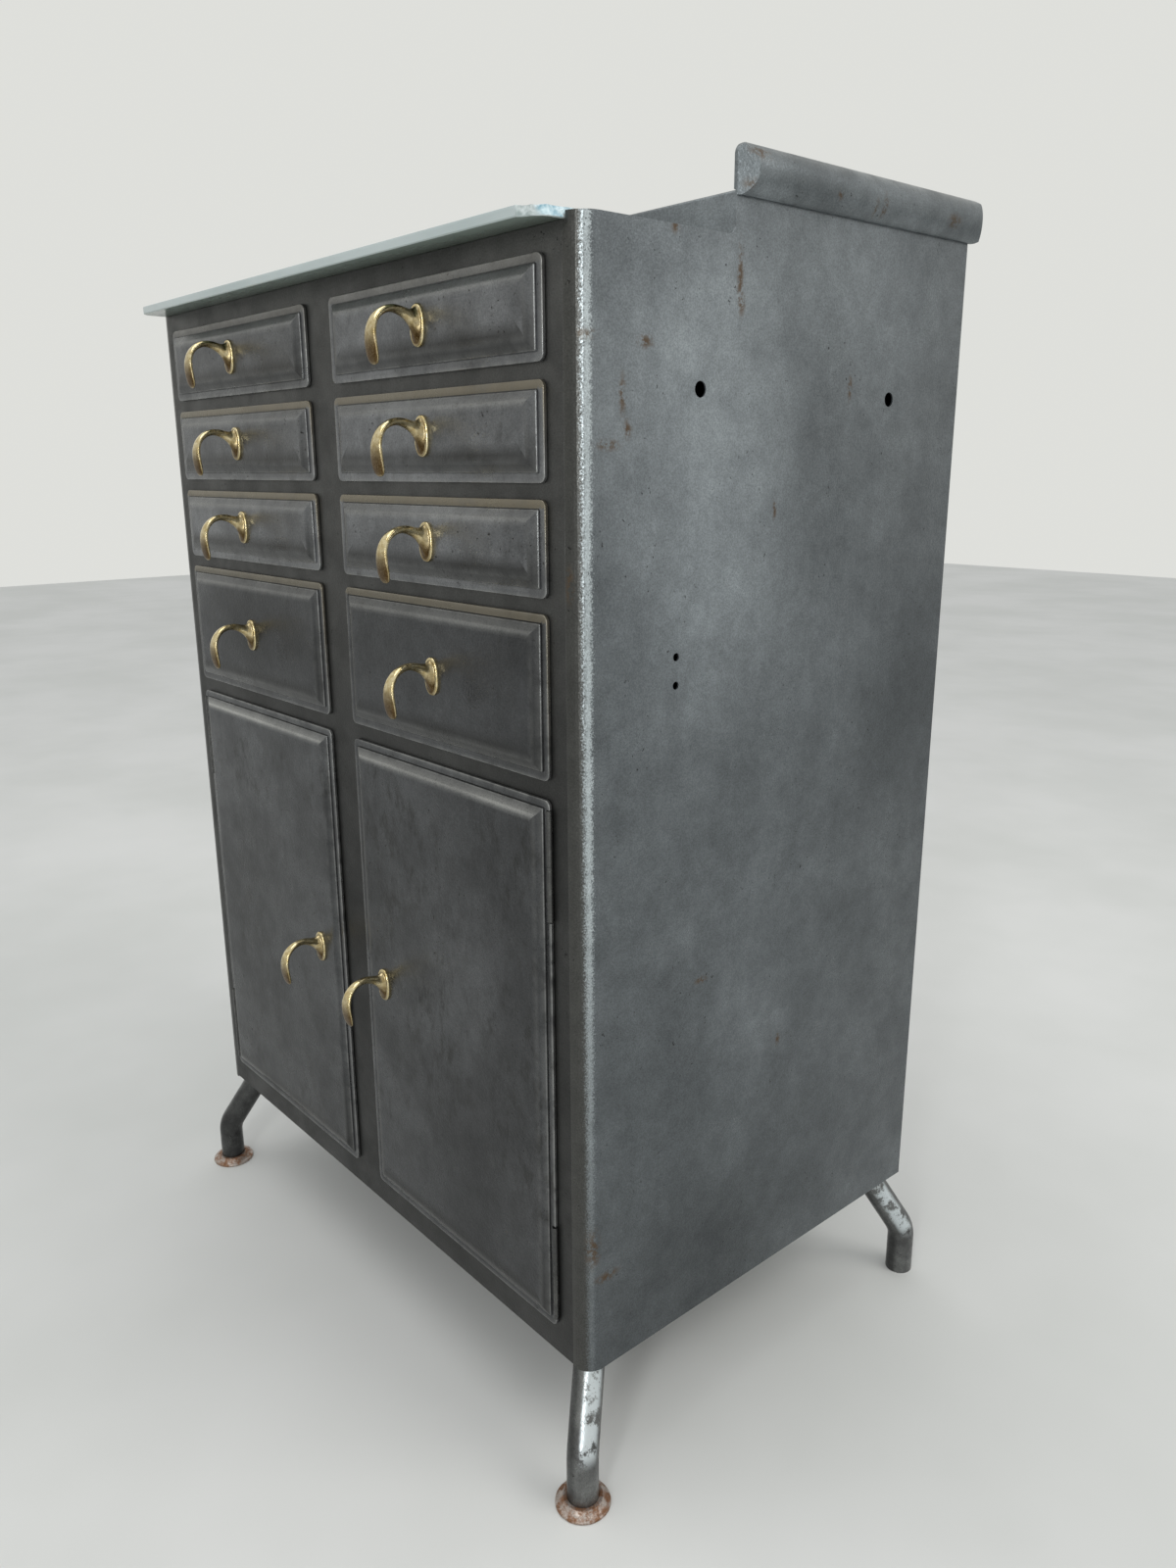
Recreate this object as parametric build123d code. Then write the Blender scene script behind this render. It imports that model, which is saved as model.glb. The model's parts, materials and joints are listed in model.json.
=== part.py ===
from build123d import *
import math
import os

# Two-column sheet-steel drawer cabinet: four drawers above a hinged door in each column, a
# glass worktop in front of a raised rear deck, rolled caps on the two wings, and four bent
# tube legs. Millimetres, +Z up, the front faces -Y. The origin is on the floor, in the
# middle of the overall box.

# ---- carcass ----
cabinet_depth = 464.0
leg_height = 126.0  # floor to the underside of the carcass
sheet = 1.5  # carcass sheet
liner = 1.2  # sheet of drawers, doors, runners and shelves
corner_radius = 18.0  # round front corners, outside
corner_return = 1.0  # straight ends of the side sheet past its corners
bend_inside = 1.5  # inside radius of the carcass's small bends
rear_return = 20.0  # side sheets and their strips, turned in behind the back panel
frame_flange = 10.0  # face frame's bottom flange
pan_rim = 15.0  # upstand of the bottom pan
divider_rim = 12.0
deck_flange = 12.0
seat_gap = 0.3  # between panels that are fitted one behind the other
beyond = 1.0  # how far a cutting tool runs past the face it cuts

# ---- front, from the bottom up ----
plinth_margin = 31.5  # carcass underside to the doors
door_height = 482.5
door_margin = 15.0  # door to deep drawer
deep_height = 128.5
shallow_height = 71.5
shallow_rows = 3
rail = 11.5  # visible strip between drawers
head_margin = 17.2  # top drawer to the underside of the glass
front_width = 296.0  # of each drawer front and door
stile_margin = 37.0  # cabinet side to drawer front
mullion = 45.0  # between the two columns' fronts
lip = 7.0  # overlap of the fronts on the frame
front_gap = 0.5  # behind the fronts' rims

# ---- pressed fronts ----
rim_thickness = 3.0
rim_corner = 6.0
rim_width = 7.0
step_height = 0.9
bevel_width = 7.5
panel_rise = 4.7  # panel face above the rim, step included
hem = 16.0  # edge turned back behind the rim

# ---- drawers ----
drawer_side_gap = 2.5
drawer_bottom_gap = 0.5
drawer_top_gap = 3.5
drawer_depth = 428.0
drawer_travel = 330.0
drawer_lip = 5.0
stop_width = 10.0
stop_reach = 6.0  # stop tab above the opening
stop_gap = 0.3
kicker_gap = 2.0  # stop tab to the channel's upper leg
runner_leg = 13.6
runner_gap = 0.3  # under the drawers
runner_inset = 0.3  # channel web behind the opening's edge
upright_depth = 24.0
upright_leg = 19.0

# ---- doors ----
door_gap = 2.5  # inner pan to its opening
door_inner_depth = 12.5
door_swing = 110.0
hinge_radius = 2.5
barrel_sides = 16
hinge_pin_radius = 1.25
hinge_run_gap = 0.03
hinge_face_gap = 0.1  # knuckle in front of the face
hinge_edge_inset = 1.2  # axis inside the rim's outer edge
hinge_knuckle = 46.0
hinge_pin_short = 1.0  # pin's end below the top of the door barrel
hinge_end_margin = 8.0
hinge_joint_gap = 0.3
hinge_leaf = 1.0
hinge_leaf_width = 11.0
hinge_notch_gap = 0.4
strike_width = 10.0
strike_depth = 12.0
strike_thickness = 2.0
strike_inset = 13.0  # strike's near edge to the door opening's inner edge
catch_drop = 40.0  # strike below the opening's top
catch_gap = 0.35
catch_leaf = 0.8
catch_mouth = 3.0  # length of the jaws' flared mouth
catch_flare = 2.5
catch_stand = 2.0  # behind the inner pan, and behind the strike's end
shelf_share = 0.5  # height of the shelf in its compartment
shelf_setback = 40.0
shelf_rim = 12.0
bracket_leg = 14.0

# ---- glass and deck ----
glass_thickness = 7.5
glass_overhang = 28.5
glass_inset = 16.0
glass_corner = 12.0
glass_edge = 0.8
glass_rear_gap = 4.0  # to the riser
chip_run = 17.0  # broken corner, along the front edge
chip_depth = 34.0  # and along the side
chip_elbow = (1.5, 12.5)  # elbow of the break, from the side edge and from the front edge
chip_start = (9.0, 5.2)  # its steeper first run ends here, measured in the same way
side_rise = 5.1  # side sheets above the glass's underside
riser_depth = 152.0  # front face to the riser
rear_rise = 36.0  # rear deck above the glass's underside
notch_radius = 7.0

# ---- wing caps ----
cap_top = 32.0  # above the rear deck
cap_height = 36.0
cap_bulge = 12.0
cap_wall = 1.4
cap_cover = 18.0  # sheet inside the cap's slot, measured from the rear deck
cap_slot_gap = 0.1
cap_lip = 2.5
cap_tail = 12.0  # overhang at the rear
cap_front_round = 9.0
cap_rear_round = 12.0
cap_bevel = 12.0

# ---- side sheet holes, on the right ----
big_hole_radius = 6.0
big_hole_front = 117.5
big_hole_spacing = 238.0
big_hole_drop = 110.0  # below the side's top edge
small_hole_radius = 3.2
small_hole_front = 96.0
small_hole_drop = 309.0
small_hole_spacing = 22.5

# ---- legs ----
leg_radius = 14.3
leg_wall = 1.6
leg_inset = 28.0  # leg axis at the carcass underside, from both faces
leg_splay = 47.0  # sideways reach of the splayed run
leg_splay_angle = 50.0  # from the cabinet's width
leg_bend_height = 52.0
leg_bend_radius = 38.0
leg_sides = 20
leg_bore = 34.0  # depth of the bare tube's open end
plate_side = 40.0
plate_corner = 8.0
plate_thickness = 3.0
flange_radius = 25.0
flange_thickness = 3.0
flange_height = 8.0
flange_gap = 0.1
plug_length = 12.0

# ---- pulls ----
pull_plate_width = 19.0
pull_plate_height = 32.6
pull_plate_edge = 2.8
pull_root_rise = 8.8
pull_arc_radius = 20.5
pull_arc_centre = 23.5  # from the plate's back
pull_arc_lift = 2.0  # arc's crown above the root of the stem
pull_tip_drop = 21.5  # below the arc's centre
pull_tip_tuck = 2.5  # tip leans back
pull_tip_width = 16.5
pull_tip_thickness = 4.2
pull_stem_width = 7.4
pull_stem_thickness = 6.4
pull_sides = 8
stud_radius = 2.2
stud_hole_gap = 0.3  # to the flats of its square hole
nut_radius = 4.6
nut_thickness = 3.2
nut_bore_gap = 0.05
stud_end = 1.0
door_pull_inset = 41.0  # from the door's inner edge

# ---- worked out ----
cabinet_width = 2 * (stile_margin + front_width) + mullion
half_width = cabinet_width / 2
pull_stand = front_gap + rim_thickness + panel_rise  # panel face in front of the frame
pull_reach = pull_arc_centre + pull_arc_radius + pull_tip_thickness / 2
splay_x = leg_splay * math.cos(math.radians(leg_splay_angle)) - leg_inset
splay_y = leg_splay * math.sin(math.radians(leg_splay_angle)) - leg_inset
front_reach = pull_stand + pull_reach
rear_reach = splay_y + flange_radius
front_y = (front_reach - cabinet_depth - rear_reach) / 2
rear_y = front_y + cabinet_depth
door_z = leg_height + plinth_margin
deep_z = door_z + door_height + door_margin
shallow_z = deep_z + deep_height + rail
face_top_z = shallow_z + shallow_rows * (shallow_height + rail) - rail + head_margin
side_top_z = face_top_z + side_rise
rear_deck_z = face_top_z + rear_rise
cap_top_z = rear_deck_z + cap_top
wing_top_z = rear_deck_z + cap_cover
column_x = half_width - stile_margin - front_width / 2
opening_width = front_width - 2 * lip
seam_x = half_width - corner_radius - corner_return
inner_x = half_width - sheet
rear_seam_x = inner_x - bend_inside - corner_return
back_y = rear_y - 2 * sheet  # back panel's front face
partition_x = column_x - opening_width / 2 - runner_inset - liner
upright_x = column_x + opening_width / 2 + runner_inset + liner
divider_z = (door_z + door_height + deep_z + divider_rim) / 2
pan_z = leg_height + sheet
bend = bend_inside + sheet / 2
hinge_x = column_x + front_width / 2 - hinge_edge_inset
hinge_y = front_y - hinge_radius - hinge_face_gap
rim_back_y = front_y - front_gap
pan_y = front_y + sheet + bend_inside  # clear of the frame's bottom bend
deck_hem_z = face_top_z - sheet - deck_flange - seat_gap

# Each drawer row: its name, the height of its front's lower edge, and its front's height.
rows = [
    (str(shallow_rows - i), shallow_z + i * (shallow_height + rail), shallow_height)
    for i in range(shallow_rows)
] + [(str(shallow_rows + 1), deep_z, deep_height)]
sides = {"left": -1, "right": 1}


# ---- helpers ----
def block(x, y, z):
    """A box between two values on each axis."""
    size = [abs(b - a) for a, b in (x, y, z)]
    middle = [(a + b) / 2 for a, b in (x, y, z)]
    return Pos(*middle) * Box(*size)


def folded(points, thickness):
    """The section of a sheet with sharp folds, whose middle runs through the points."""
    return trace(Polyline(*points), thickness)


def skinned(rings):
    """A solid whose flat facets join each ring of points to the next."""
    count = len(rings[0])
    faces = [Face(Wire.make_polygon(rings[0])), Face(Wire.make_polygon(rings[-1]))]
    for near, far in zip(rings, rings[1:]):
        for i in range(count):
            j = (i + 1) % count
            faces.append(Face(Wire.make_polygon([near[i], near[j], far[j]])))
            faces.append(Face(Wire.make_polygon([near[i], far[j], far[i]])))
    return Solid(Shell(faces))


def across(outline, x0, x1):
    """An outline drawn in (y, z), extruded from x0 to x1."""
    return extrude(Plane.YZ.offset(x0) * outline, amount=x1 - x0)


def upward(outline, z0, z1):
    """An outline drawn in (x, y), extruded from z0 to z1."""
    return extrude(Plane.XY.offset(z0) * outline, amount=z1 - z0)


def facing(x, y, z):
    """A plane facing the front: its own x and y run along X and Z, and its z to the front."""
    return Plane(origin=(x, y, z), x_dir=(1, 0, 0), z_dir=(0, -1, 0))


def backward(outline, y0, y1):
    """An outline drawn in (x, z), extruded from y0 back to y1."""
    return extrude(facing(0, y0, 0) * outline, amount=y0 - y1)


def bent(points, radius, thickness):
    """The section of a folded sheet whose middle runs through the points."""
    return trace(FilletPolyline(*points, radius=radius), thickness)


def sided(solid, side):
    """The solid as built for the right, or its mirror image for the left."""
    return solid if side > 0 else mirror(solid, about=Plane.YZ)


# ---- carcass ----
def side_panel(side):
    """A sheet rounded at the front and notched down before the wing, and its strip behind the back."""
    middle_x = half_width - sheet / 2
    turn = corner_radius - sheet / 2
    section = bent(
        [
            (rear_seam_x, rear_y - sheet / 2),
            (middle_x, rear_y - sheet / 2),
            (middle_x, front_y + sheet / 2),
            (seam_x, front_y + sheet / 2),
        ],
        [bend, turn],
        sheet,
    )
    panel = upward(section, leg_height, wing_top_z)
    notch = Polyline(
        (front_y - sheet, side_top_z),
        (front_y + riser_depth, side_top_z),
        (front_y + riser_depth, wing_top_z + sheet),
        (front_y - sheet, wing_top_z + sheet),
        close=True,
    )
    outline = make_face(notch)
    corner = outline.vertices().sort_by(lambda v: (v.Y - side_top_z) ** 2 - v.X)[0]
    outline = fillet(corner, notch_radius)
    panel -= across(outline, 0, half_width + sheet)
    panel -= block(
        (seam_x - sheet, half_width - glass_inset + seat_gap),
        (front_y - sheet, front_y + corner_radius),
        (face_top_z, side_top_z + sheet),
    )
    if side > 0:
        for depth in (big_hole_front, big_hole_front + big_hole_spacing):
            panel -= side_hole(depth, side_top_z - big_hole_drop, big_hole_radius)
        for drop in (small_hole_drop, small_hole_drop + small_hole_spacing):
            panel -= side_hole(small_hole_front, side_top_z - drop, small_hole_radius)
    strip = block((half_width - rear_return, rear_seam_x), (rear_y - sheet, rear_y), (leg_height, wing_top_z))
    return [sided(panel, side), sided(strip, side)]


def side_hole(depth, z, radius):
    """A drill through the right side sheet."""
    return across(Pos(front_y + depth, z) * Circle(radius), inner_x - sheet, half_width + sheet)


def front_openings():
    """The frame's openings, as (x, lower z, height), behind every drawer front and door."""
    found = []
    for side in sides.values():
        for _, z, height in rows:
            found.append((side * column_x, z + lip, height - 2 * lip))
        found.append((side * column_x, door_z + lip, door_height - 2 * lip))
    return found


def face_frame():
    """The front sheet, flanged back at its foot, with an opening for each front."""
    middle_y = front_y + sheet / 2
    section = bent(
        [
            (front_y + frame_flange, leg_height + sheet / 2),
            (middle_y, leg_height + sheet / 2),
            (middle_y, face_top_z),
        ],
        bend,
        sheet,
    )
    frame = across(section, -seam_x, seam_x)
    for x, z, height in front_openings():
        cut = Rectangle(opening_width, height)
        frame -= backward(Pos(x, z + height / 2) * cut, front_y - sheet, front_y + 2 * sheet)
    for side in sides.values():
        for z in hinge_heights():
            frame -= block(
                (side * hinge_x - hinge_leaf / 2 - seat_gap, side * hinge_x + hinge_leaf / 2 + seat_gap),
                (front_y - sheet, front_y + 2 * sheet),
                (z - seat_gap, z + hinge_knuckle + seat_gap),
            )
    return frame


def floor_outline(x0, x1, y0, y1, inset):
    """A floor's outline on the right, its outer front corner rounded a little more than the side's."""
    turn = corner_radius - inset
    outline = Pos((x0 + x1) / 2, (y0 + y1) / 2) * Rectangle(x1 - x0, y1 - y0)
    corner = outline.vertices().sort_by(lambda v: v.Y - v.X)[0]
    return fillet(corner, turn)


def tray(outline, inner, z0, height, wall):
    """A sheet tray with an upstand all round; a negative height turns the rim down."""
    low, high = sorted((z0, z0 + height))
    floor = (z0, z0 + wall) if height > 0 else (z0 - wall, z0)
    solid = upward(outline, low, high)
    cut = (floor[1], high + beyond) if height > 0 else (low - beyond, floor[0])
    return solid - upward(inner, *cut)


def full_floor(y0, y1, inset):
    """A floor's outline between both side sheets, drawn in by the inset."""
    half = floor_outline(0, inner_x - inset, y0 + inset, y1 - inset, inset)
    return half + mirror(half, about=Plane.YZ)


def bottom_pan():
    """The carcass floor, and the four straight strips of its rim, whose corners are open."""
    rim = (pan_z + sheet, pan_z + pan_rim)
    straight = inner_x - corner_radius
    solids = [
        upward(full_floor(pan_y, back_y, 0), pan_z, pan_z + sheet),
        block((-straight, straight), (pan_y, pan_y + sheet), rim),
        block((-inner_x, inner_x), (back_y - sheet, back_y), rim),
    ]
    for side in sides.values():
        x = (side * (inner_x - sheet), side * inner_x)
        solids.append(block(x, (pan_y + corner_radius, back_y - sheet), rim))
    return solids


def back_panel():
    """The plain rear sheet, in front of the side sheets' returns."""
    x = inner_x - bend_inside
    return block((-x, x), (back_y, back_y + sheet), (pan_z, rear_deck_z))


def top_deck():
    """One folded sheet: the ledge under the glass, the riser and the raised rear deck."""
    ledge_z = face_top_z - sheet / 2
    deck_z = rear_deck_z - sheet / 2
    riser_y = front_y + riser_depth + sheet / 2
    hem_y = front_y + 1.5 * sheet
    rear_hem_y = back_y - sheet / 2
    section = bent(
        [
            (hem_y, ledge_z - deck_flange),
            (hem_y, ledge_z),
            (riser_y, ledge_z),
            (riser_y, deck_z),
            (rear_hem_y, deck_z),
            (rear_hem_y, deck_z - deck_flange),
        ],
        bend,
        sheet,
    )
    plan = upward(full_floor(front_y + sheet, back_y, 0), ledge_z - 2 * deck_flange, rear_deck_z + beyond)
    return across(section, -inner_x, inner_x) & plan


def centre_partition():
    """A hollow divider behind the mullion, folded from one sheet and open at its rear."""
    front = front_y + sheet + liner / 2
    wall_x = partition_x - liner / 2
    section = folded([(-wall_x, back_y), (-wall_x, front), (wall_x, front), (wall_x, back_y)], liner)
    partition = upward(section, pan_z + sheet, face_top_z - sheet)
    width = (-partition_x, partition_x)
    partition -= block(width, (front_y, pan_y + sheet), (pan_z, pan_z + pan_rim))
    partition -= block(width, (back_y - sheet, back_y), (pan_z, pan_z + pan_rim))
    return partition - block(width, (front_y, front_y + 2 * sheet + bend_inside), (deck_hem_z, face_top_z))


def drawer_divider(side):
    """The sheet between the drawers and the door compartment, rim turned down."""
    outline = floor_outline(partition_x, inner_x, front_y + sheet, back_y, 0)
    inner = floor_outline(partition_x + liner, inner_x - liner, front_y + sheet + liner, back_y - liner, liner)
    return sided(tray(outline, inner, divider_z, -divider_rim, liner), side)


def uprights(side):
    """Two channels that carry the outer runners, behind the frame and at the back panel."""
    x0 = upright_x + liner / 2
    x1 = upright_x + upright_leg
    solids = []
    for y in (front_y + sheet, back_y - upright_depth):
        low, high = y + liner / 2, y + upright_depth - liner / 2
        section = folded([(x1, low), (x0, low), (x0, high), (x1, high)], liner)
        solids.append(sided(upward(section, divider_z, deck_hem_z), side))
    return solids


def runner(web_x, inward, z, height):
    """A channel beside one drawer: its lower leg carries the drawer, its upper leg keeps it level."""
    foot_z = z + drawer_bottom_gap - runner_gap - liner / 2
    head_z = z + height + stop_reach + kicker_gap + liner / 2
    middle = web_x + inward * liner / 2
    tip = web_x + inward * runner_leg
    section = folded([(tip, foot_z), (middle, foot_z), (middle, head_z), (tip, head_z)], liner)
    return backward(section, front_y + sheet, back_y)


def runners(side):
    """The inner and outer channels of one column's drawers."""
    solids = []
    for _, z, height in rows:
        opening = (z + lip, height - 2 * lip)
        solids.append(sided(runner(partition_x, 1, *opening), side))
        solids.append(sided(runner(upright_x, -1, *opening), side))
    return solids


def compartment():
    """Lower and upper z of the space behind the doors."""
    return pan_z + sheet, divider_z - divider_rim


def shelf_z():
    low, high = compartment()
    return low + shelf_share * (high - low)


def shelf(side):
    """A loose sheet shelf, its front edge turned down, on two angle brackets."""
    x0, x1 = partition_x + drawer_side_gap, inner_x - drawer_side_gap
    y0, y1 = front_y + shelf_setback, back_y - drawer_side_gap
    section = folded(
        [
            (y1, shelf_z() - liner / 2),
            (y0 + liner / 2, shelf_z() - liner / 2),
            (y0 + liner / 2, shelf_z() - shelf_rim),
        ],
        liner,
    )
    return sided(across(section, x0, x1), side)


def shelf_brackets(side):
    """Angles under the shelf, on the partition and on the side sheet."""
    z = shelf_z() - liner
    y0 = front_y + shelf_setback + 2 * liner + seat_gap
    solids = []
    for wall, inward in ((partition_x, 1), (inner_x, -1)):
        middle = wall + inward * liner / 2
        section = folded(
            [(wall + inward * bracket_leg, z - liner / 2), (middle, z - liner / 2), (middle, z - bracket_leg)],
            liner,
        )
        solids.append(sided(backward(section, y0, back_y), side))
    return solids


# ---- glass and wing caps ----
def glass_top():
    """The worktop plate, with a rounded front corner on the left and a broken one on the right."""
    edge_x = half_width - glass_inset
    low_y = front_y - glass_overhang
    high_y = front_y + riser_depth - glass_rear_gap
    outline = Pos(0, (low_y + high_y) / 2) * Rectangle(2 * edge_x, high_y - low_y)
    corner = outline.vertices().sort_by(lambda v: v.X + v.Y)[0]
    outline = fillet(corner, glass_corner)
    plate = upward(outline, face_top_z, face_top_z + glass_thickness)
    plate = chamfer(plate.edges().group_by(Axis.Z)[-1], glass_edge)
    chip = make_face(
        Polyline(
            (edge_x - chip_run, low_y - beyond),
            (edge_x - chip_run, low_y),
            (edge_x - chip_start[0], low_y + chip_start[1]),
            (edge_x - chip_elbow[0], low_y + chip_elbow[1]),
            (edge_x, low_y + chip_depth),
            (edge_x + beyond, low_y + chip_depth),
            (edge_x + beyond, low_y - beyond),
            close=True,
        )
    )
    return plate - upward(chip, face_top_z - beyond, face_top_z + glass_thickness + beyond)


def wing_cap(side):
    """A rolled cap on one wing: flat inside, bulging outside, rounded at both ends."""
    inner_face = inner_x - cap_slot_gap - cap_wall
    crown = inner_face + 2 * cap_wall
    low_z = cap_top_z - cap_height
    lip_x = half_width + cap_slot_gap
    outer = ThreePointArc(
        (crown, cap_top_z),
        (half_width + cap_bulge, cap_top_z - cap_height / 2),
        (lip_x + cap_lip, low_z),
    )
    shoulder = ThreePointArc(
        (inner_face, cap_top_z - 2 * cap_wall),
        (inner_face + 2 * cap_wall * (1 - math.sqrt(0.5)), cap_top_z - 2 * cap_wall * (1 - math.sqrt(0.5))),
        (crown, cap_top_z),
    )
    rest = Polyline(
        (lip_x + cap_lip, low_z),
        (lip_x, low_z),
        (lip_x, rear_deck_z),
        (inner_face, rear_deck_z),
        (inner_face, cap_top_z - 2 * cap_wall),
    )
    section = make_face([outer, rest, shoulder])
    front, rear = front_y + riser_depth, rear_y + cap_tail
    cap = backward(section, front, rear)
    side_view = Pos((front + rear) / 2, cap_top_z - cap_height / 2) * Rectangle(rear - front, cap_height)
    ends = side_view.vertices().sort_by(Axis.X)
    side_view = fillet(ends[2:], cap_rear_round)
    front_top = side_view.vertices().sort_by(lambda v: v.X - v.Y)[0]
    side_view = fillet(front_top, cap_front_round)
    cap = cap & across(side_view, inner_face - beyond, half_width + cap_bulge + beyond)
    for end, sense in ((front, 1), (rear, -1)):
        wedge = make_face(
            Polyline(
                (half_width, end - sense),
                (half_width, end),
                (half_width + cap_bulge, end + sense * cap_bevel),
                (half_width + 2 * cap_bulge, end + sense * cap_bevel),
                (half_width + 2 * cap_bulge, end - sense),
                close=True,
            )
        )
        cap -= upward(wedge, low_z - beyond, cap_top_z + beyond)
    slot = block(
        (inner_x - cap_slot_gap, half_width + cap_slot_gap),
        (front - beyond, rear_y + cap_slot_gap),
        (low_z - beyond, wing_top_z + cap_slot_gap),
    )
    tail = block(
        (half_width - rear_return - beyond, half_width),
        (back_y - cap_slot_gap, rear_y + cap_slot_gap),
        (low_z - beyond, wing_top_z + cap_slot_gap),
    )
    return sided(cap - slot - tail, side)


# ---- legs ----
def leg_places():
    """Foot centres on the floor: right and left, front and rear."""
    foot_x = half_width + splay_x
    return [(sx * foot_x, y) for y in (front_y - splay_y, rear_y + splay_y) for sx in (1, -1)]


def rearward(y):
    """1 for a front foot, whose leg leans back as it rises, and -1 for a rear one."""
    return 1 if y < front_y + cabinet_depth / 2 else -1


def leg_head(x, y):
    """Where one leg's axis meets the underside of the bottom pan."""
    share = (pan_z - leg_bend_height) / (leg_height - leg_bend_height)
    turn = math.radians(leg_splay_angle)
    head_x = x - math.copysign(leg_splay * math.cos(turn) * share, x)
    return head_x, y + rearward(y) * leg_splay * math.sin(turn) * share


def leg(x, y):
    """A bent tube: upright at the floor, then splayed in to the bottom pan."""
    head_x, head_y = leg_head(x, y)
    excess = 2 * sheet / (pan_z - leg_bend_height)
    path = FilletPolyline(
        (x, y, 0),
        (x, y, leg_bend_height),
        (head_x + excess * (head_x - x), head_y + excess * (head_y - y), pan_z + 2 * sheet),
        radius=leg_bend_radius,
    )
    bar = sweep(Plane((x, y, 0)) * RegularPolygon(leg_radius, leg_sides), path=path)
    reach = 2 * leg_splay
    bar -= block((x - reach, x + reach), (y - reach, y + reach), (pan_z, 2 * pan_z))
    if has_flange(x, y):
        return bar
    return bar - upward(Pos(x, y) * tube_bore(), -leg_wall, leg_bore)


def tube_bore():
    """The inside of a leg's tube, as its outline."""
    return RegularPolygon(leg_radius - leg_wall, leg_sides)


def has_flange(x, y):
    """Every foot but the rear right one, which has lost its flange."""
    return not (x > 0 and y > front_y + cabinet_depth / 2)


def leg_plate(x, y):
    """A stiffening plate in the pan, over the head of one leg."""
    outline = Pos(*leg_head(x, y)) * Rectangle(plate_side, plate_side)
    outline = chamfer(outline.vertices(), plate_corner)
    return upward(outline, pan_z + sheet, pan_z + sheet + plate_thickness)


def foot_flange(x, y):
    """A turned foot: a wide ring on the floor that rises in a cone to its tube."""
    bore = leg_radius + flange_gap
    section = make_face(
        Polyline(
            (bore, 0),
            (flange_radius, 0),
            (flange_radius, flange_thickness),
            (bore, flange_height),
            close=True,
        )
    )
    return Pos(x, y) * revolve(Plane.XZ * section, Axis.Z)


def leg_plug(x, y):
    """The stopper in the bare end of the leg that has no flange."""
    return upward(Pos(x, y) * tube_bore(), 0, plug_length)


# ---- fronts ----
def pressed_front(x, z, width, height):
    """A pressed front: a flat rim with rounded corners round a raised, bevelled panel."""
    face = facing(x, rim_back_y, z + height / 2)
    solid = extrude(face * RectangleRounded(width, height, rim_corner), amount=rim_thickness)
    raised = Rectangle(width - 2 * rim_width, height - 2 * rim_width)
    top = Rectangle(width - 2 * (rim_width + bevel_width), height - 2 * (rim_width + bevel_width))
    step = face.offset(rim_thickness)
    bevel = face.offset(rim_thickness + step_height)
    crown = face.offset(rim_thickness + panel_rise)
    solid += extrude(step * raised, amount=step_height)
    solid += loft([bevel * raised, crown * top], ruled=True)
    pocket = Rectangle(width - 2 * hem, height - 2 * hem)
    return solid - extrude(face * pocket, amount=rim_thickness + panel_rise - liner)


def stud_hole(x, z):
    """A square hole for a pull's stud, through the front and the wall behind it."""
    side = 2 * (stud_radius + stud_hole_gap)
    return backward(Pos(x, z) * Rectangle(side, side), rim_back_y - 2 * pull_stand, front_y + 2 * liner)


def drawer_front(x, z, height):
    return pressed_front(x, z, front_width, height) - stud_hole(x, z + height / 2)


def drawer_box(x, z, height):
    """Five sheets welded at their edges, four of them turned in at the top, and two stop tabs."""
    low = z + lip + drawer_bottom_gap
    high = z + height - lip - drawer_top_gap
    half = opening_width / 2 - drawer_side_gap
    inside = half - liner
    y0, y1 = rim_back_y, rim_back_y + drawer_depth
    stop_y = front_y + sheet + drawer_travel + stop_gap
    solids = [block((x - inside, x + inside), (y0, y1), (low, low + liner))]
    for sense in (-1, 1):
        edge, wall = x + sense * half, x + sense * inside
        side = block((edge, wall), (y0, y1), (low, high))
        solids.append(side + block((wall, edge - sense * drawer_lip), (y0, y1), (high - liner, high)))
        top = z + height - lip + stop_reach
        solids.append(block((edge, wall), (stop_y, stop_y + stop_width), (high, top)))
    for y, inward in ((y0, 1), (y1, -1)):
        wall = block((x - inside, x + inside), (y, y + inward * liner), (low + liner, high - liner))
        mouth = half - drawer_lip
        wall += block((x - mouth, x + mouth), (y, y + inward * drawer_lip), (high - liner, high))
        solids.append(wall - stud_hole(x, z + height / 2) if inward > 0 else wall)
    return solids


def hinge_heights():
    """Lower ends of the frame knuckles, lower and upper hinge."""
    length = 2 * hinge_knuckle + hinge_joint_gap
    return [door_z + hinge_end_margin, door_z + door_height - hinge_end_margin - length]


def door_knuckle_z(z):
    return z + hinge_knuckle + hinge_joint_gap


def door_skin(side):
    """The door's pressed front, its rim cut away round the hinge knuckles and behind their leaves."""
    skin = pressed_front(column_x, door_z, front_width, door_height)
    edge = column_x + front_width / 2 + beyond
    for z in hinge_heights():
        top = door_knuckle_z(z) + hinge_knuckle
        skin -= block(
            (hinge_x - hinge_radius - hinge_notch_gap, edge),
            (rim_back_y - rim_thickness - beyond, rim_back_y + beyond),
            (z - hinge_notch_gap, top + hinge_notch_gap),
        )
        skin -= block(
            (hinge_x - hinge_leaf_width - hinge_notch_gap, hinge_x),
            (rim_back_y - hinge_leaf, rim_back_y + beyond),
            (door_knuckle_z(z) - hinge_joint_gap, top + hinge_joint_gap),
        )
    return sided(skin - stud_hole(*door_pull_place(1)), side)


def door_pull_place(side):
    return side * (column_x - front_width / 2 + door_pull_inset), door_z + door_height / 2


def strike_z():
    return door_z + door_height - lip - catch_drop


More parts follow.
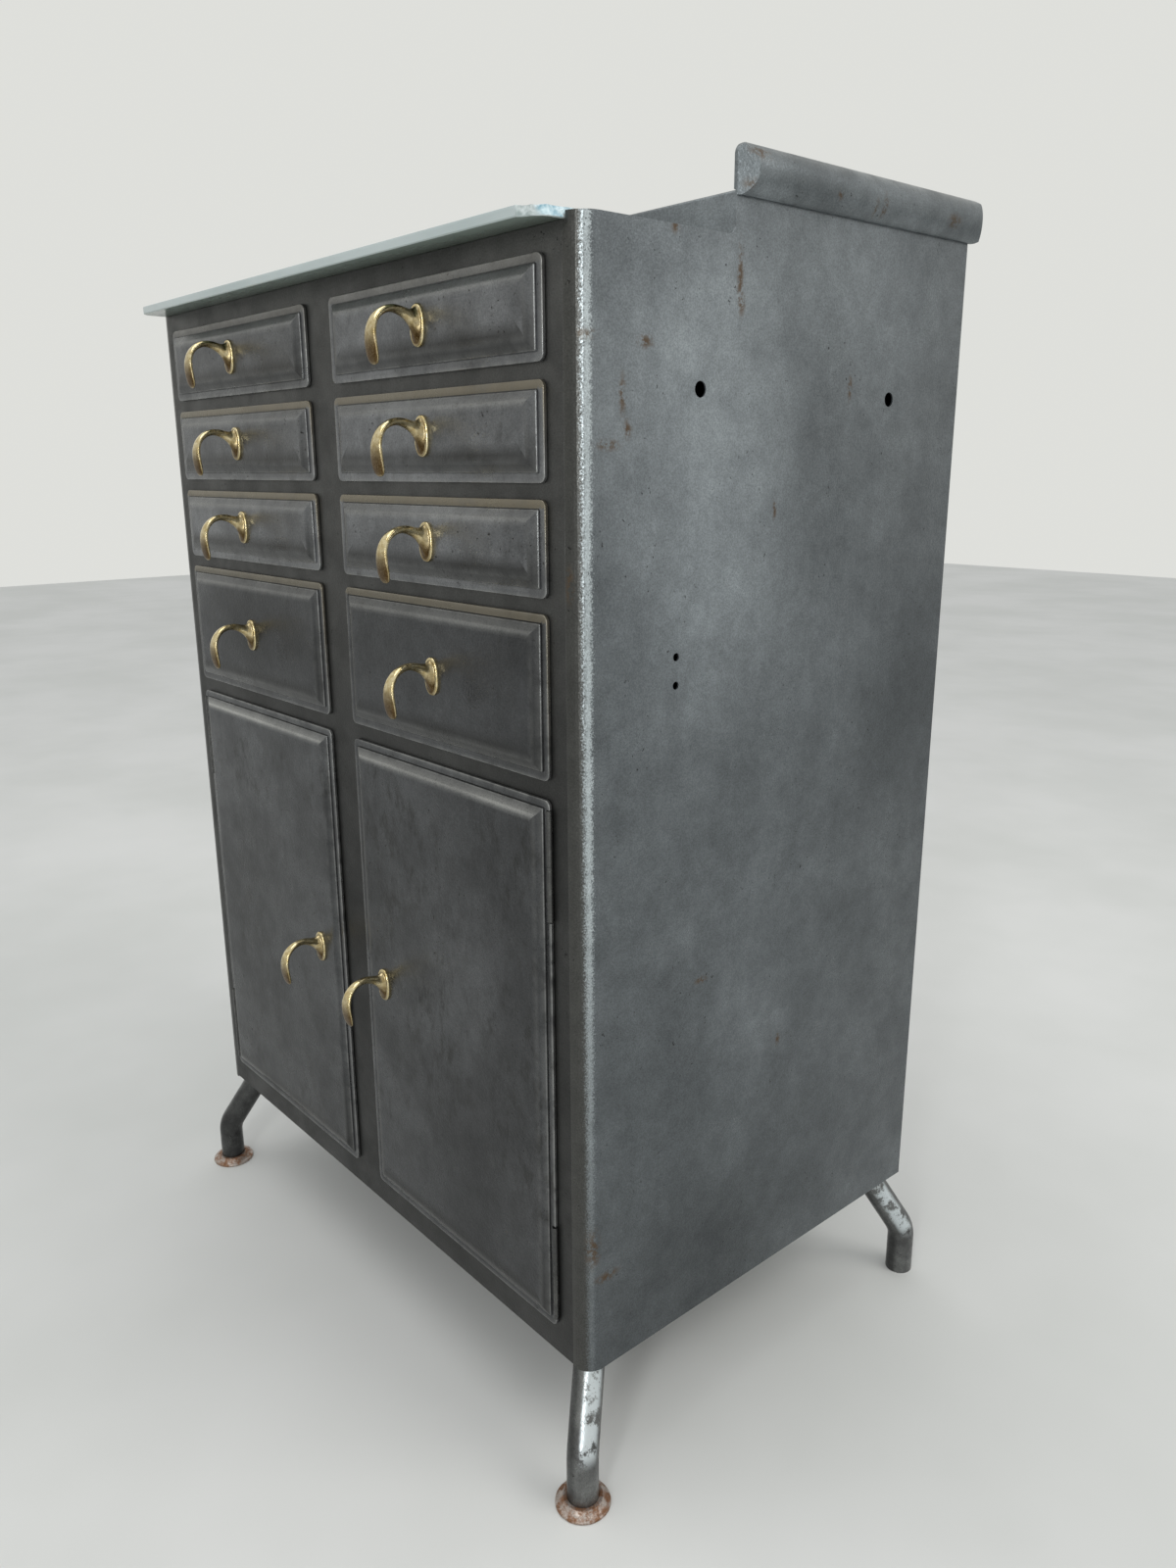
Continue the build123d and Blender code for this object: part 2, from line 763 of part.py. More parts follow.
def door_inner(side):
    """The pan that closes the door's back, with the strike of its catch."""
    half = opening_width / 2 - door_gap
    low, high = door_z + lip + door_gap, door_z + door_height - lip - door_gap
    y1 = rim_back_y + door_inner_depth
    pan = block((column_x - half, column_x + half), (rim_back_y, y1), (low, high))
    pan -= block(
        (column_x - half + liner, column_x + half - liner),
        (rim_back_y - beyond, y1 - liner),
        (low + liner, high - liner),
    )
    x0 = column_x - opening_width / 2 + strike_inset
    strike = block(
        (x0, x0 + strike_width),
        (y1 - liner, y1 + strike_depth),
        (strike_z() - strike_thickness / 2, strike_z() + strike_thickness / 2),
    )
    return sided(pan + strike, side)


def door_catch(side):
    """A spring clip on the partition whose two jaws hold the door's strike."""
    x0 = column_x - opening_width / 2 + strike_inset
    jaw = strike_thickness / 2 + catch_gap + catch_leaf / 2
    y0 = rim_back_y + door_inner_depth + catch_stand
    y1 = y0 + strike_depth
    flare = jaw + catch_flare
    section = folded(
        [
            (y0, strike_z() + flare),
            (y0 + catch_mouth, strike_z() + jaw),
            (y1, strike_z() + jaw),
            (y1, strike_z() - jaw),
            (y0 + catch_mouth, strike_z() - jaw),
            (y0, strike_z() - flare),
        ],
        catch_leaf,
    )
    clip = across(section, x0, x0 + strike_width)
    arm_y = (y1 - catch_leaf / 2, y1 + catch_leaf / 2)
    arm = block((partition_x, x0), arm_y, (strike_z() - jaw, strike_z() + jaw))
    foot = block(
        (partition_x, partition_x + liner),
        (y1 - catch_leaf / 2, y1 + bracket_leg),
        (strike_z() - bracket_leg / 2, strike_z() + bracket_leg / 2),
    )
    return sided(clip + arm + foot, side)


def on_hinge_axis(outline, z0, z1):
    """An outline drawn round the right door's hinge axis, extruded from z0 to z1."""
    return upward(Pos(hinge_x, hinge_y) * outline, z0, z1)


def frame_hinge(side, z):
    """The lower barrel with its pin, on a leaf that passes through the frame and turns out behind it."""
    half = hinge_leaf / 2
    top = z + hinge_knuckle
    web = block((hinge_x - half, hinge_x + half), (hinge_y, front_y + sheet + hinge_leaf), (z, top))
    foot = block(
        (hinge_x - half, hinge_x + hinge_leaf_width),
        (front_y + sheet, front_y + sheet + hinge_leaf),
        (z, top),
    )
    pin_top = door_knuckle_z(z) + hinge_knuckle - hinge_pin_short
    barrel = on_hinge_axis(RegularPolygon(hinge_radius, barrel_sides), z, top)
    return sided(barrel + web + foot + on_hinge_axis(Circle(hinge_pin_radius), z, pin_top), side)


def door_hinge(side, z):
    """The upper barrel, which turns on the pin, with its leaf in the back of the door's rim."""
    base = door_knuckle_z(z)
    top = base + hinge_knuckle
    leaf = block((hinge_x - hinge_leaf_width, hinge_x), (rim_back_y - hinge_leaf, rim_back_y), (base, top))
    bore = on_hinge_axis(Circle(hinge_pin_radius + hinge_run_gap), base - beyond, top + beyond)
    barrel = on_hinge_axis(RegularPolygon(hinge_radius, barrel_sides), base, top)
    return sided(barrel + leaf - bore, side)


# ---- pulls ----
def pull_stations():
    """Sections of the cast hook as (out, up, tilt in degrees, half width, half thickness)."""
    w, h = pull_plate_width / 2, pull_plate_height / 2
    stem_w, stem_t = pull_stem_width / 2, pull_stem_thickness / 2
    tip_w, tip_t = pull_tip_width / 2, pull_tip_thickness / 2
    edge, rise = pull_plate_edge, pull_root_rise
    stations = [
        (0.0, 0.0, 0, w, h),
        (edge * 0.6, 0.0, 0, w, h),
        (edge, 0.0, 0, w * 0.86, h * 0.92),
        (edge * 1.1, rise * 0.15, 0, w * 0.64, h * 0.72),
        (edge * 2.2, rise * 0.6, 0, w * 0.48, h * 0.42),
        (pull_arc_centre * 0.6, rise, 0, stem_w, stem_t * 1.1),
    ]
    arc_steps = 3
    for i in range(arc_steps + 1):
        share = i / arc_steps
        turn = math.pi / 2 * share
        out = pull_arc_centre + pull_arc_radius * math.sin(turn)
        up = rise + pull_arc_lift - pull_arc_radius * (1 - math.cos(turn))
        spread = stem_w + (tip_w - stem_w) * 0.55 * share**2
        stations.append((out, up, 90 * share, spread, stem_t + (tip_t - stem_t) * share))
    out, up = stations[-1][:2]
    for drop, turn, wide, thick in ((0.4, 95, 0.95, 1.0), (0.8, 98, 0.95, 0.9), (1.0, 100, 0.5, 0.5)):
        stations.append(
            (out - pull_tip_tuck * drop**2, up - pull_tip_drop * drop, turn, tip_w * wide, tip_t * thick)
        )
    return stations


def ring(x, y, z, half_width, half_thickness, tilt):
    """Points round an ellipse that is upright at tilt 0 and lies flat at tilt 90."""
    lean = math.radians(tilt)
    points = []
    for i in range(pull_sides):
        turn = 2 * math.pi * i / pull_sides
        wide, thick = half_width * math.cos(turn), half_thickness * math.sin(turn)
        points.append((x + wide, y - thick * math.sin(lean), z + thick * math.cos(lean)))
    return points


def pull(x, z, stud_length):
    """A cast hook pull on an oval dished plate, with its stud and the nut behind."""
    base_y = front_y - pull_stand
    rings = [ring(x, base_y + length, z, stud_radius, stud_radius, 0) for length in (stud_length, 0)]
    for out, up, tilt, half_w, half_t in pull_stations():
        rings.append(ring(x, base_y - out, z + up, half_w, half_t, tilt))
    nut_y = base_y + stud_length - stud_end
    bore = RegularPolygon(stud_radius + nut_bore_gap, pull_sides)
    nut = backward(Pos(x, z) * (RegularPolygon(nut_radius, 6) - bore), nut_y - nut_thickness, nut_y)
    return [skinned(rings), nut]


# ---- every node ----
def save(name, solids):
    """Writes one node, a single solid or a group of separate ones."""
    found = []
    for solid in solids if isinstance(solids, list) else [solids]:
        found += solid.solids()
    export_step(Compound(children=found, label=name), f"parts/{name}.step")


def build():
    os.makedirs("parts", exist_ok=True)
    places = leg_places()
    for name, side in sides.items():
        save(f"side_panel_{name}", side_panel(side))
        save(f"wing_cap_{name}", wing_cap(side))
        save(f"runners_{name}", runners(side))
        save(f"shelf_{name}", shelf(side))
    save("face_frame", face_frame())
    save("back_panel", back_panel())
    save("bottom_pan", bottom_pan())
    save("top_deck", top_deck())
    save("centre_partition", centre_partition())
    save("glass_top", glass_top())
    save("drawer_dividers", [drawer_divider(s) for s in sides.values()])
    save("runner_uprights", [u for s in sides.values() for u in uprights(s)])
    save("shelf_brackets", [b for s in sides.values() for b in shelf_brackets(s)])
    save("door_catches", [door_catch(s) for s in sides.values()])
    save("legs_front", [leg(x, y) for x, y in places if rearward(y) > 0])
    save("legs_rear", [leg(x, y) for x, y in places if rearward(y) < 0])
    save("leg_plates", [leg_plate(x, y) for x, y in places])
    save("feet", [foot_flange(x, y) if has_flange(x, y) else leg_plug(x, y) for x, y in places])
    save("hinge_frame_leaves", [frame_hinge(s, z) for s in sides.values() for z in hinge_heights()])

    wall_stud = pull_stand + liner - front_gap + nut_thickness + stud_end
    skin_stud = liner + nut_thickness + stud_end
    for name, side in sides.items():
        x = side * column_x
        for row, z, height in rows:
            save(f"drawer_front_{name}_{row}", drawer_front(x, z, height))
            save(f"drawer_box_{name}_{row}", drawer_box(x, z, height))
            save(f"drawer_pull_{name}_{row}", pull(x, z + height / 2, wall_stud))
        save(f"door_skin_{name}", door_skin(side))
        save(f"door_inner_{name}", door_inner(side))
        save(f"door_hinge_leaves_{name}", [door_hinge(side, z) for z in hinge_heights()])
        save(f"door_pull_{name}", pull(*door_pull_place(side), skin_stud))


build()
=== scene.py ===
import json
import math

import bmesh
import bpy
from mathutils import Matrix, Vector

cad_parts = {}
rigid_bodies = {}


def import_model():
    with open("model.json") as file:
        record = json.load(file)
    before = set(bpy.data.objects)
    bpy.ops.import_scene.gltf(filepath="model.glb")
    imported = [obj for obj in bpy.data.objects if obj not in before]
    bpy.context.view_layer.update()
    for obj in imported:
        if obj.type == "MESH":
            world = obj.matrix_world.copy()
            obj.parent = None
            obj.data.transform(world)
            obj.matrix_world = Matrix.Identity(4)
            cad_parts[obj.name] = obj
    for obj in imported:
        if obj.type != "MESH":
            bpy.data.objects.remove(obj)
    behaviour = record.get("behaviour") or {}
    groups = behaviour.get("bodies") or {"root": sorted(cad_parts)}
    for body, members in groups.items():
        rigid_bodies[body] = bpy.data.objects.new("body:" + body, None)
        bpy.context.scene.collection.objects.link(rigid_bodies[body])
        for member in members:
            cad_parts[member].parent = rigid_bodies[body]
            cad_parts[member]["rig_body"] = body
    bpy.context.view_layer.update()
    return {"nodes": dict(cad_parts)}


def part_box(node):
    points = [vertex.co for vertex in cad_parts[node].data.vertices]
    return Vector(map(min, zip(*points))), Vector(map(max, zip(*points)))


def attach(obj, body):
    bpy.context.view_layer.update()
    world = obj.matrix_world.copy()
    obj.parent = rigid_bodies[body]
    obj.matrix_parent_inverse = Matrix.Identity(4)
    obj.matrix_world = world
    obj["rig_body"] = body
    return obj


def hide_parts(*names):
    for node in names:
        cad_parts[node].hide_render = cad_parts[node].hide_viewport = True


# A two-column steel drawer cabinet, stripped to bare metal, with brass hook pulls, a chipped
# pale green glass worktop and four bent tube legs. Metres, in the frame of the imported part.

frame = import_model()
MM = 0.001
NODES = frame["nodes"]

# ---- camera ----
PHOTO_LONG_SIDE = 1600
FOCAL_PIXELS = 1184.0
CAMERA_AT = Vector((988.6, -767.05, 889.4)) * MM
YAW, PITCH, ROLL = (math.radians(a) for a in (49.02, 15.29, -0.30))


def make_camera():
    ahead = Vector(
        (-math.sin(YAW) * math.cos(PITCH), math.cos(YAW) * math.cos(PITCH), -math.sin(PITCH))
    )
    level = Vector((math.cos(YAW), math.sin(YAW), 0))
    down = ahead.cross(level)
    right = level * math.cos(ROLL) - down * math.sin(ROLL)
    up = -(level * math.sin(ROLL) + down * math.cos(ROLL))
    data = bpy.data.cameras.new("camera")
    data.sensor_width = 36.0
    data.lens = data.sensor_width * FOCAL_PIXELS / PHOTO_LONG_SIDE
    data.clip_start, data.clip_end = 0.01, 100
    camera = bpy.data.objects.new("camera", data)
    camera.matrix_world = Matrix.Translation(CAMERA_AT) @ Matrix((right, up, -ahead)).transposed().to_4x4()
    bpy.context.scene.collection.objects.link(camera)
    bpy.context.scene.camera = camera


# ---- node helpers ----
class Shader:
    """A material and short calls that add and join its nodes."""

    def __init__(self, name):
        self.material = bpy.data.materials.new(name)
        self.material.use_nodes = True
        self.tree = self.material.node_tree
        self.surface = self.tree.nodes["Principled BSDF"]
        self.place = self.add("ShaderNodeTexCoord").outputs["Object"]

    def add(self, kind, settings=None, **inputs):
        made = self.tree.nodes.new(kind)
        for name, value in (settings or {}).items():
            setattr(made, name, value)
        for name, value in inputs.items():
            self.join(made.inputs[name.replace("_", " ")], value)
        return made

    def join(self, socket, value):
        if isinstance(value, bpy.types.NodeSocket):
            self.tree.links.new(value, socket)
        else:
            socket.default_value = value

    def set(self, name, value):
        self.join(self.surface.inputs[name], value)

    def noise(self, scale, detail=3.0, rough=0.55, stretch=None, seed=0.0):
        """Noise from 0 to 1; scale is in features per metre."""
        spot = self.add("ShaderNodeMapping", Vector=self.place, Location=(seed, seed, seed))
        if stretch:
            self.join(spot.inputs["Scale"], stretch)
        made = self.add(
            "ShaderNodeTexNoise", Vector=spot.outputs[0], Scale=scale, Detail=detail, Roughness=rough
        )
        return made.outputs["Fac"]

    def span(self, value, low, high, to_low=0.0, to_high=1.0):
        made = self.add("ShaderNodeMapRange", {"interpolation_type": "SMOOTHSTEP"})
        for socket, put in zip(made.inputs, (value, low, high, to_low, to_high)):
            self.join(socket, put)
        return made.outputs[0]

    def maths(self, operation, a, b=0.0):
        made = self.add("ShaderNodeMath", {"operation": operation})
        self.join(made.inputs[0], a)
        self.join(made.inputs[1], b)
        return made.outputs[0]

    def mix(self, share, a, b, mode="MIX"):
        """A mix of two colours, which are the node's inputs 6 and 7 and its output 2."""
        made = self.add("ShaderNodeMix", {"data_type": "RGBA", "blend_type": mode})
        self.join(made.inputs[0], share)
        self.join(made.inputs[6], a)
        self.join(made.inputs[7], b)
        return made.outputs[2]

    def bump(self, height, distance, strength=1.0):
        made = self.add("ShaderNodeBump", Height=height, Distance=distance, Strength=strength)
        return made.outputs[0]

    def attribute(self, name):
        return self.add("ShaderNodeAttribute", {"attribute_name": name}).outputs["Fac"]

    def mark(self, centre, size, edge=0.5):
        """1 inside an ellipsoid at the centre, falling to 0 at its sizes."""
        moved = self.add("ShaderNodeVectorMath", {"operation": "SUBTRACT"})
        self.join(moved.inputs[0], self.place)
        self.join(moved.inputs[1], Vector(centre) * MM)
        scaled = self.add("ShaderNodeVectorMath", {"operation": "DIVIDE"})
        self.join(scaled.inputs[0], moved.outputs[0])
        self.join(scaled.inputs[1], Vector(size) * MM)
        length = self.add("ShaderNodeVectorMath", {"operation": "LENGTH"})
        self.join(length.inputs[0], scaled.outputs[0])
        return self.span(length.outputs["Value"], 1.0, edge)


def grey(r, g=None, b=None):
    return (r, r if g is None else g, r if b is None else b, 1.0)


# ---- steel ----
# |x| + y in metres, across a front corner, where the painted shade in the frame's dark tone ends at the painted highlight line
CORNER_LINE = 0.1342
RUST = (0.105, 0.068, 0.038, 1.0)
SOOT = (0.012, 0.011, 0.010, 1.0)

# Rust streaks and stains on the right side sheet and cap: centre and half sizes.
SIDE_STAINS = [
    ((340.4, -219.0, 806.0), (5, 6, 17)),
    ((355, -63, 1026), (6, 4.5, 30)),
    ((355, -61, 1008), (6, 5.5, 12)),
    ((355, -183, 938), (6, 4.5, 18)),
    ((355, -178, 915), (6, 5, 9)),
    ((355, -161, 975), (6, 10, 6)),
    ((355, -197, 904), (6, 14, 5)),
    ((355, 78, 952), (6, 3.5, 14)),
    ((355, -14, 855), (6, 3, 11)),
    ((355, -89, 461), (6, 9, 4)),
    ((355, 18, 368), (6, 3.5, 8)),
    ((355, -215, 977), (9, 9, 5)),
    ((355, -213, 250), (9, 9, 24)),
    ((355, -198, 218), (6, 16, 6)),
    ((355, -132, 1053), (6, 6, 6)),
]
CAP_STAINS = [
    ((368, -54, 1112), (12, 16, 8)),
    ((368, -64, 1089), (12, 7, 6)),
    ((368, 87, 1088), (9, 3, 12)),
    ((368, 98, 1091), (9, 4, 14)),
    ((368, 39, 1094), (9, 4, 5)),
    ((368, 200, 1094), (9, 12, 7)),
]


def steel(
    name,
    dark,
    light,
    cloud=4.0,
    rough=(0.34, 0.50),
    pores=0.5,
    stains=(),
    fronts=False,
    corner=None,
    levels=None,
    tone_and_light_patches=(),
    leg_highlight=False,
):
    """Bare steel: drifting clouds, mottling, pits, rust, and the faint pebbling of old sheet."""
    s = Shader(name)
    clouds = s.noise(cloud, 3.0, 0.55)
    drift = s.noise(cloud * 4.5, 5.0, 0.6, seed=3.1)
    mottle = s.noise(60, 6.0, 0.66, seed=7.7)
    fine = s.noise(800, 3.0, 0.6, seed=1.3)
    tone = s.maths("ADD", s.maths("MULTIPLY", clouds, 0.65), s.maths("MULTIPLY", drift, 0.35))
    colour = s.mix(s.span(tone, 0.34, 0.68), dark, light)
    at = s.add("ShaderNodeSeparateXYZ", Vector=s.place)
    depth, height_up = at.outputs["Y"], at.outputs["Z"]
    if levels:
        # painted shade: the colour is darker lower down and paler higher up, changing between two heights
        colour = s.mix(1.0, colour, s.span(height_up, *levels), "MULTIPLY")
    # paler and darker patches, partly the sheet's own tone and patina and partly painted reflection and
    # shade
    for centre, size, change in tone_and_light_patches:
        area = s.mark(centre, size, 0.0)
        colour = s.mix(1.0, colour, s.maths("ADD", 1.0, s.maths("MULTIPLY", area, change)), "MULTIPLY")
    if corner:
        # painted shade in the frame's dark tone turns round the front corners and ends at a painted
        # highlight line; the frame's tone turns round the front corners and ends at a painted,
        # paler line, which in the photograph may be worn metal or a reflection
        grain = s.maths("MULTIPLY", s.maths("SUBTRACT", s.noise(700, 3.0, 0.6, seed=41.0), 0.5), 0.016)
        across = s.maths("ADD", s.maths("ADD", s.maths("ABSOLUTE", at.outputs["X"]), depth), grain)
        before = s.span(depth, -0.206, -0.198, 1.0, 0.0)
        corner_shade = s.span(across, CORNER_LINE - 0.003, CORNER_LINE + 0.005, 1.0, 0.0)
        colour = s.mix(s.maths("MULTIPLY", corner_shade, before), colour, corner)
        rising = s.span(across, CORNER_LINE - 0.004, CORNER_LINE + 0.005)
        falling = s.span(across, CORNER_LINE + 0.0055, CORNER_LINE + 0.0105, 1.0, 0.0)
        corner_highlight = s.maths("MULTIPLY", s.maths("MULTIPLY", rising, falling), before)
        corner_highlight = s.maths("MULTIPLY", corner_highlight, s.span(height_up, 0.20, 0.72, 0.10, 0.75))
        colour = s.mix(corner_highlight, colour, grey(0.60, 0.66, 0.68))
    colour = s.mix(0.5, colour, s.mix(s.span(mottle, 0.3, 0.72), grey(0.80), grey(1.20)), "MULTIPLY")
    colour = s.mix(0.5, colour, s.mix(s.span(fine, 0.3, 0.7), grey(0.62), grey(1.38)), "MULTIPLY")
    roughness = s.span(drift, 0.3, 0.7, rough[1], rough[0])
    if fronts:
        # dark soot patches on the panels, painted shade in the grooves and on the left bevels, and painted
        # shade with soot in a band along their feet
        blotch = s.span(s.noise(8, 3.0, 0.6, seed=31.0), 0.42, 0.62, 0.15, 1.0)
        smut = s.span(s.noise(70, 9.0, 0.74, stretch=(1.0, 1.0, 0.45), seed=37.0), 0.46, 0.66)
        soot_and_shade = s.maths("MULTIPLY", blotch, smut)
        soot_and_shade = s.maths("MULTIPLY", soot_and_shade, s.span(height_up, 0.60, 0.68, 1.0, 0.4))
        shade_and_grime = s.maths("MULTIPLY", s.attribute("shade_and_grime"), s.span(drift, 0.25, 0.6, 0.6, 1.0))
        soot_and_shade = s.maths("MAXIMUM", soot_and_shade, shade_and_grime)
        colour = s.mix(soot_and_shade, colour, grey(0.030, 0.030, 0.029))
    # scattered pits, black where they are deep and brown where they have rusted
    patch = s.span(s.noise(14, 2.0, 0.6, seed=11.0), 0.44, 0.62)
    pits = s.span(s.noise(260, 3.0, 0.6, seed=5.0), 0.655, 0.70)
    flecks = s.maths("MULTIPLY", s.maths("MULTIPLY", patch, pits), pores * 1.6)
    colour = s.mix(s.span(flecks, 0.0, 1.0), colour, SOOT)
    bloom = s.span(s.noise(46, 7.0, 0.72, seed=21.0), 0.70, 0.80)
    rust = s.maths("MULTIPLY", bloom, pores)
    ragged = s.noise(210, 5.0, 0.7, seed=17.0)
    for centre, size in stains:
        reach = [q * 1.2 for q in size]
        stain = s.maths("MULTIPLY", s.mark(centre, reach, 0.1), s.span(ragged, 0.42, 0.56))
        rust = s.maths("MAXIMUM", rust, stain)
    colour = s.mix(s.maths("MULTIPLY", rust, 0.92), colour, RUST)
    roughness = s.maths("ADD", roughness, s.maths("MULTIPLY", rust, 0.3))
    if fronts:
        edge = s.maths("MULTIPLY", s.attribute("wear"), s.span(mottle, 0.30, 0.60, 0.25, 1.0))
        colour = s.mix(s.maths("MULTIPLY", edge, 0.6), colour, grey(0.36, 0.36, 0.35))
        # painted highlights along the panels' upper shoulders, like the painted highlight line at the
        # corners
        shoulder_highlight = s.attribute("shoulder_highlight")
        uneven = s.span(s.noise(7, 4.0, 0.6, seed=51.0), 0.3, 0.65, 0.45, 1.0)
        shoulder_highlight = s.maths("MULTIPLY", s.maths("MULTIPLY", shoulder_highlight, uneven), s.span(fine, 0.30, 0.55, 0.55, 1.0))
        colour = s.mix(s.maths("MULTIPLY", shoulder_highlight, 0.85), colour, grey(0.50, 0.50, 0.48))
        warm = s.maths("MULTIPLY", s.attribute("warm"), s.span(drift, 0.2, 0.5, 0.6, 1.0))
        colour = s.mix(s.maths("MULTIPLY", warm, 0.85), colour, (0.20, 0.172, 0.122, 1.0))
    if leg_highlight:
        # a painted highlight streak down one side of each leg, above its foot, and painted shade on the far
        # side
        facing_highlight = s.attribute("highlight_side")
        colour = s.mix(1.0, colour, s.span(facing_highlight, 0.35, 0.75, 0.55, 1.15), "MULTIPLY")
        highlight_streak = s.maths("MULTIPLY", s.span(facing_highlight, 0.72, 0.96), s.span(height_up, 0.045, 0.062))
        highlight_streak = s.maths("MULTIPLY", highlight_streak, s.span(s.noise(90, 6.0, 0.7, seed=61.0), 0.40, 0.52))
        colour = s.mix(highlight_streak, colour, grey(0.62, 0.67, 0.69))
    s.set("Base Color", colour)
    s.set("Metallic", 0.8)
    s.set("Roughness", roughness)
    peel = s.noise(420, 2.0, 0.5, seed=2.0)
    height = s.maths("SUBTRACT", peel, s.maths("MULTIPLY", flecks, 0.8))
    dents = s.bump(s.noise(7, 1.0, 0.5, seed=9.0), 0.0016, 0.3)
    bump = s.add("ShaderNodeBump", Height=height, Distance=0.0003, Strength=0.7, Normal=dents)
    s.set("Normal", bump.outputs[0])
    return s.material


def brass():
    """Aged yellow brass, brown with patina on the spoon's face and round the plate's foot, with painted
    dark reflection under the flare and the hook, and bright elsewhere.
    """
    s = Shader("brass")
    cloud = s.noise(240, 4.0, 0.65)
    speck = s.noise(900, 4.0, 0.65, seed=4.0)
    gold = s.mix(s.span(cloud, 0.3, 0.7), (0.56, 0.44, 0.21, 1), (0.84, 0.73, 0.47, 1))
    darkening = s.maths("MULTIPLY", s.attribute("patina_and_dark_reflection"), s.span(speck, 0.32, 0.56, 0.84, 1.0))
    darkening = s.maths("MAXIMUM", darkening, s.span(speck, 0.64, 0.72, 0.0, 0.6))
    s.set("Base Color", s.mix(darkening, gold, s.mix(cloud, (0.028, 0.013, 0.004, 1), (0.15, 0.088, 0.03, 1))))
    s.set("Metallic", 1.0)
    s.set("Roughness", s.span(darkening, 0.0, 1.0, 0.13, 0.38))
    s.set("Normal", s.bump(s.noise(420, 3.0, 0.6, seed=8.0), 0.00025, 0.5))
    return s.material


def glass():
    """Old plate glass that reads milky and pale green, with painted shade on its underside, deepening back
    from its edge.
    """
    s = Shader("plate_glass")
    haze = s.noise(9, 3.0, 0.55, stretch=(1, 3, 3))
    pale = s.mix(s.span(haze, 0.3, 0.7), (0.43, 0.495, 0.49, 1), (0.51, 0.57, 0.565, 1))
    facing = s.add("ShaderNodeSeparateXYZ", Vector=s.add("ShaderNodeNewGeometry").outputs["True Normal"])
    # painted shade on the downward faces, deeper back from the front edge
    facing_down = s.span(facing.outputs["Z"], -0.9, -0.6, 1.0, 0.0)
    depth = s.add("ShaderNodeSeparateXYZ", Vector=s.place).outputs["Y"]
    shade = s.mix(s.span(depth, -0.250, -0.220), (0.30, 0.37, 0.33, 1), (0.075, 0.095, 0.075, 1))
    s.set("Base Color", s.mix(facing_down, pale, shade))
    s.set("Roughness", s.span(s.noise(60, 3.0), 0.3, 0.7, 0.14, 0.24))
    s.set("Transmission Weight", 0.12)
    s.set("IOR", 1.5)
    s.set("Normal", s.bump(s.noise(8, 2.0), 0.0006, 0.15))
    return s.material


def broken_glass():
    """The fresh, pale face where the corner broke away."""
    s = Shader("broken_glass")
    shell = s.noise(160, 3.0, 0.5)
    beyond = s.span(s.add("ShaderNodeSeparateXYZ", Vector=s.place).outputs["Y"], -0.2415, -0.2365)
    pale = s.mix(beyond, (0.60, 0.66, 0.65, 1), (0.66, 0.82, 0.86, 1))
    deep = s.mix(beyond, (0.36, 0.42, 0.41, 1), (0.26, 0.47, 0.56, 1))
    s.set("Base Color", s.mix(s.span(shell, 0.40, 0.60), deep, pale))
    s.set("Roughness", 0.22)
    s.set("Transmission Weight", 0.15)
    s.set("Normal", s.bump(shell, 0.0012, 0.7))
    return s.material


def rusty_foot():
    """Worn casting: coppery rust with paler steel showing through."""
    s = Shader("rusty_foot")
    patch = s.noise(90, 6.0, 0.7)
    grain = s.noise(700, 4.0, 0.6, seed=2.0)
    colour = s.mix(s.span(patch, 0.40, 0.58), (0.23, 0.115, 0.06, 1), (0.42, 0.36, 0.32, 1))
    colour = s.mix(0.5, colour, s.mix(s.span(grain, 0.3, 0.7), grey(0.5), grey(1.3)), "MULTIPLY")
    s.set("Base Color", colour)
    s.set("Metallic", 0.6)
    s.set("Roughness", s.span(patch, 0.35, 0.6, 0.62, 0.36))
    s.set("Normal", s.bump(grain, 0.0003, 0.6))
    return s.material


def plug_rubber():
    s = Shader("plug_rubber")
    s.set("Base Color", s.mix(s.noise(300), grey(0.012), grey(0.05, 0.045, 0.04)))
    s.set("Roughness", s.span(s.noise(120), 0.3, 0.7, 0.6, 0.85))
    return s.material


# ---- mesh helpers ----
def make_piece(name, mesh_data, material, body, replaces=()):
    """Puts finished mesh data in the scene as one piece of a body."""
    piece = bpy.data.objects.new(name, mesh_data)
    bpy.context.scene.collection.objects.link(piece)
    if material:
        mesh_data.materials.clear()
        mesh_data.materials.append(material)
    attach(piece, body)
    if replaces:
        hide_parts(*replaces)
    return piece


def smooth_shading(data, degrees=32):
    """Smooth shading that keeps edges sharper than the angle."""
    for face in data.polygons:
        face.use_smooth = True
    data.set_sharp_from_angle(angle=math.radians(degrees))


def soften(piece, width, segments=2, degrees=30):
    """Rounds the edges by the width, in millimetres, for the light that real edges catch."""
    bevel = piece.modifiers.new("soft_edges", "BEVEL")
    bevel.width = width * MM
    bevel.segments = segments
    bevel.limit_method = "ANGLE"
    bevel.angle_limit = math.radians(degrees)
    bevel.harden_normals = False


WELD_DISTANCE = 2e-6
FLAT_DEGREES = 0.4


def dressed(node, material, width=0.35, segments=2):
    """A cleaned copy of a CAD node in its place, with softened edges unless the width is 0."""
    source = NODES[node]
    data = source.data.copy()
    mesh = bmesh.new()
    mesh.from_mesh(data)
    bmesh.ops.remove_doubles(mesh, verts=mesh.verts, dist=WELD_DISTANCE)
    flat = math.radians(FLAT_DEGREES)
    bmesh.ops.dissolve_limit(
        mesh, angle_limit=flat, verts=mesh.verts, edges=mesh.edges, delimit={"NORMAL"}
    )
    mesh.to_mesh(data)
    mesh.free()
    piece = make_piece(node + "_skin", data, material, source["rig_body"], [node])
    if width:
        soften(piece, width, segments)
    smooth_shading(data)


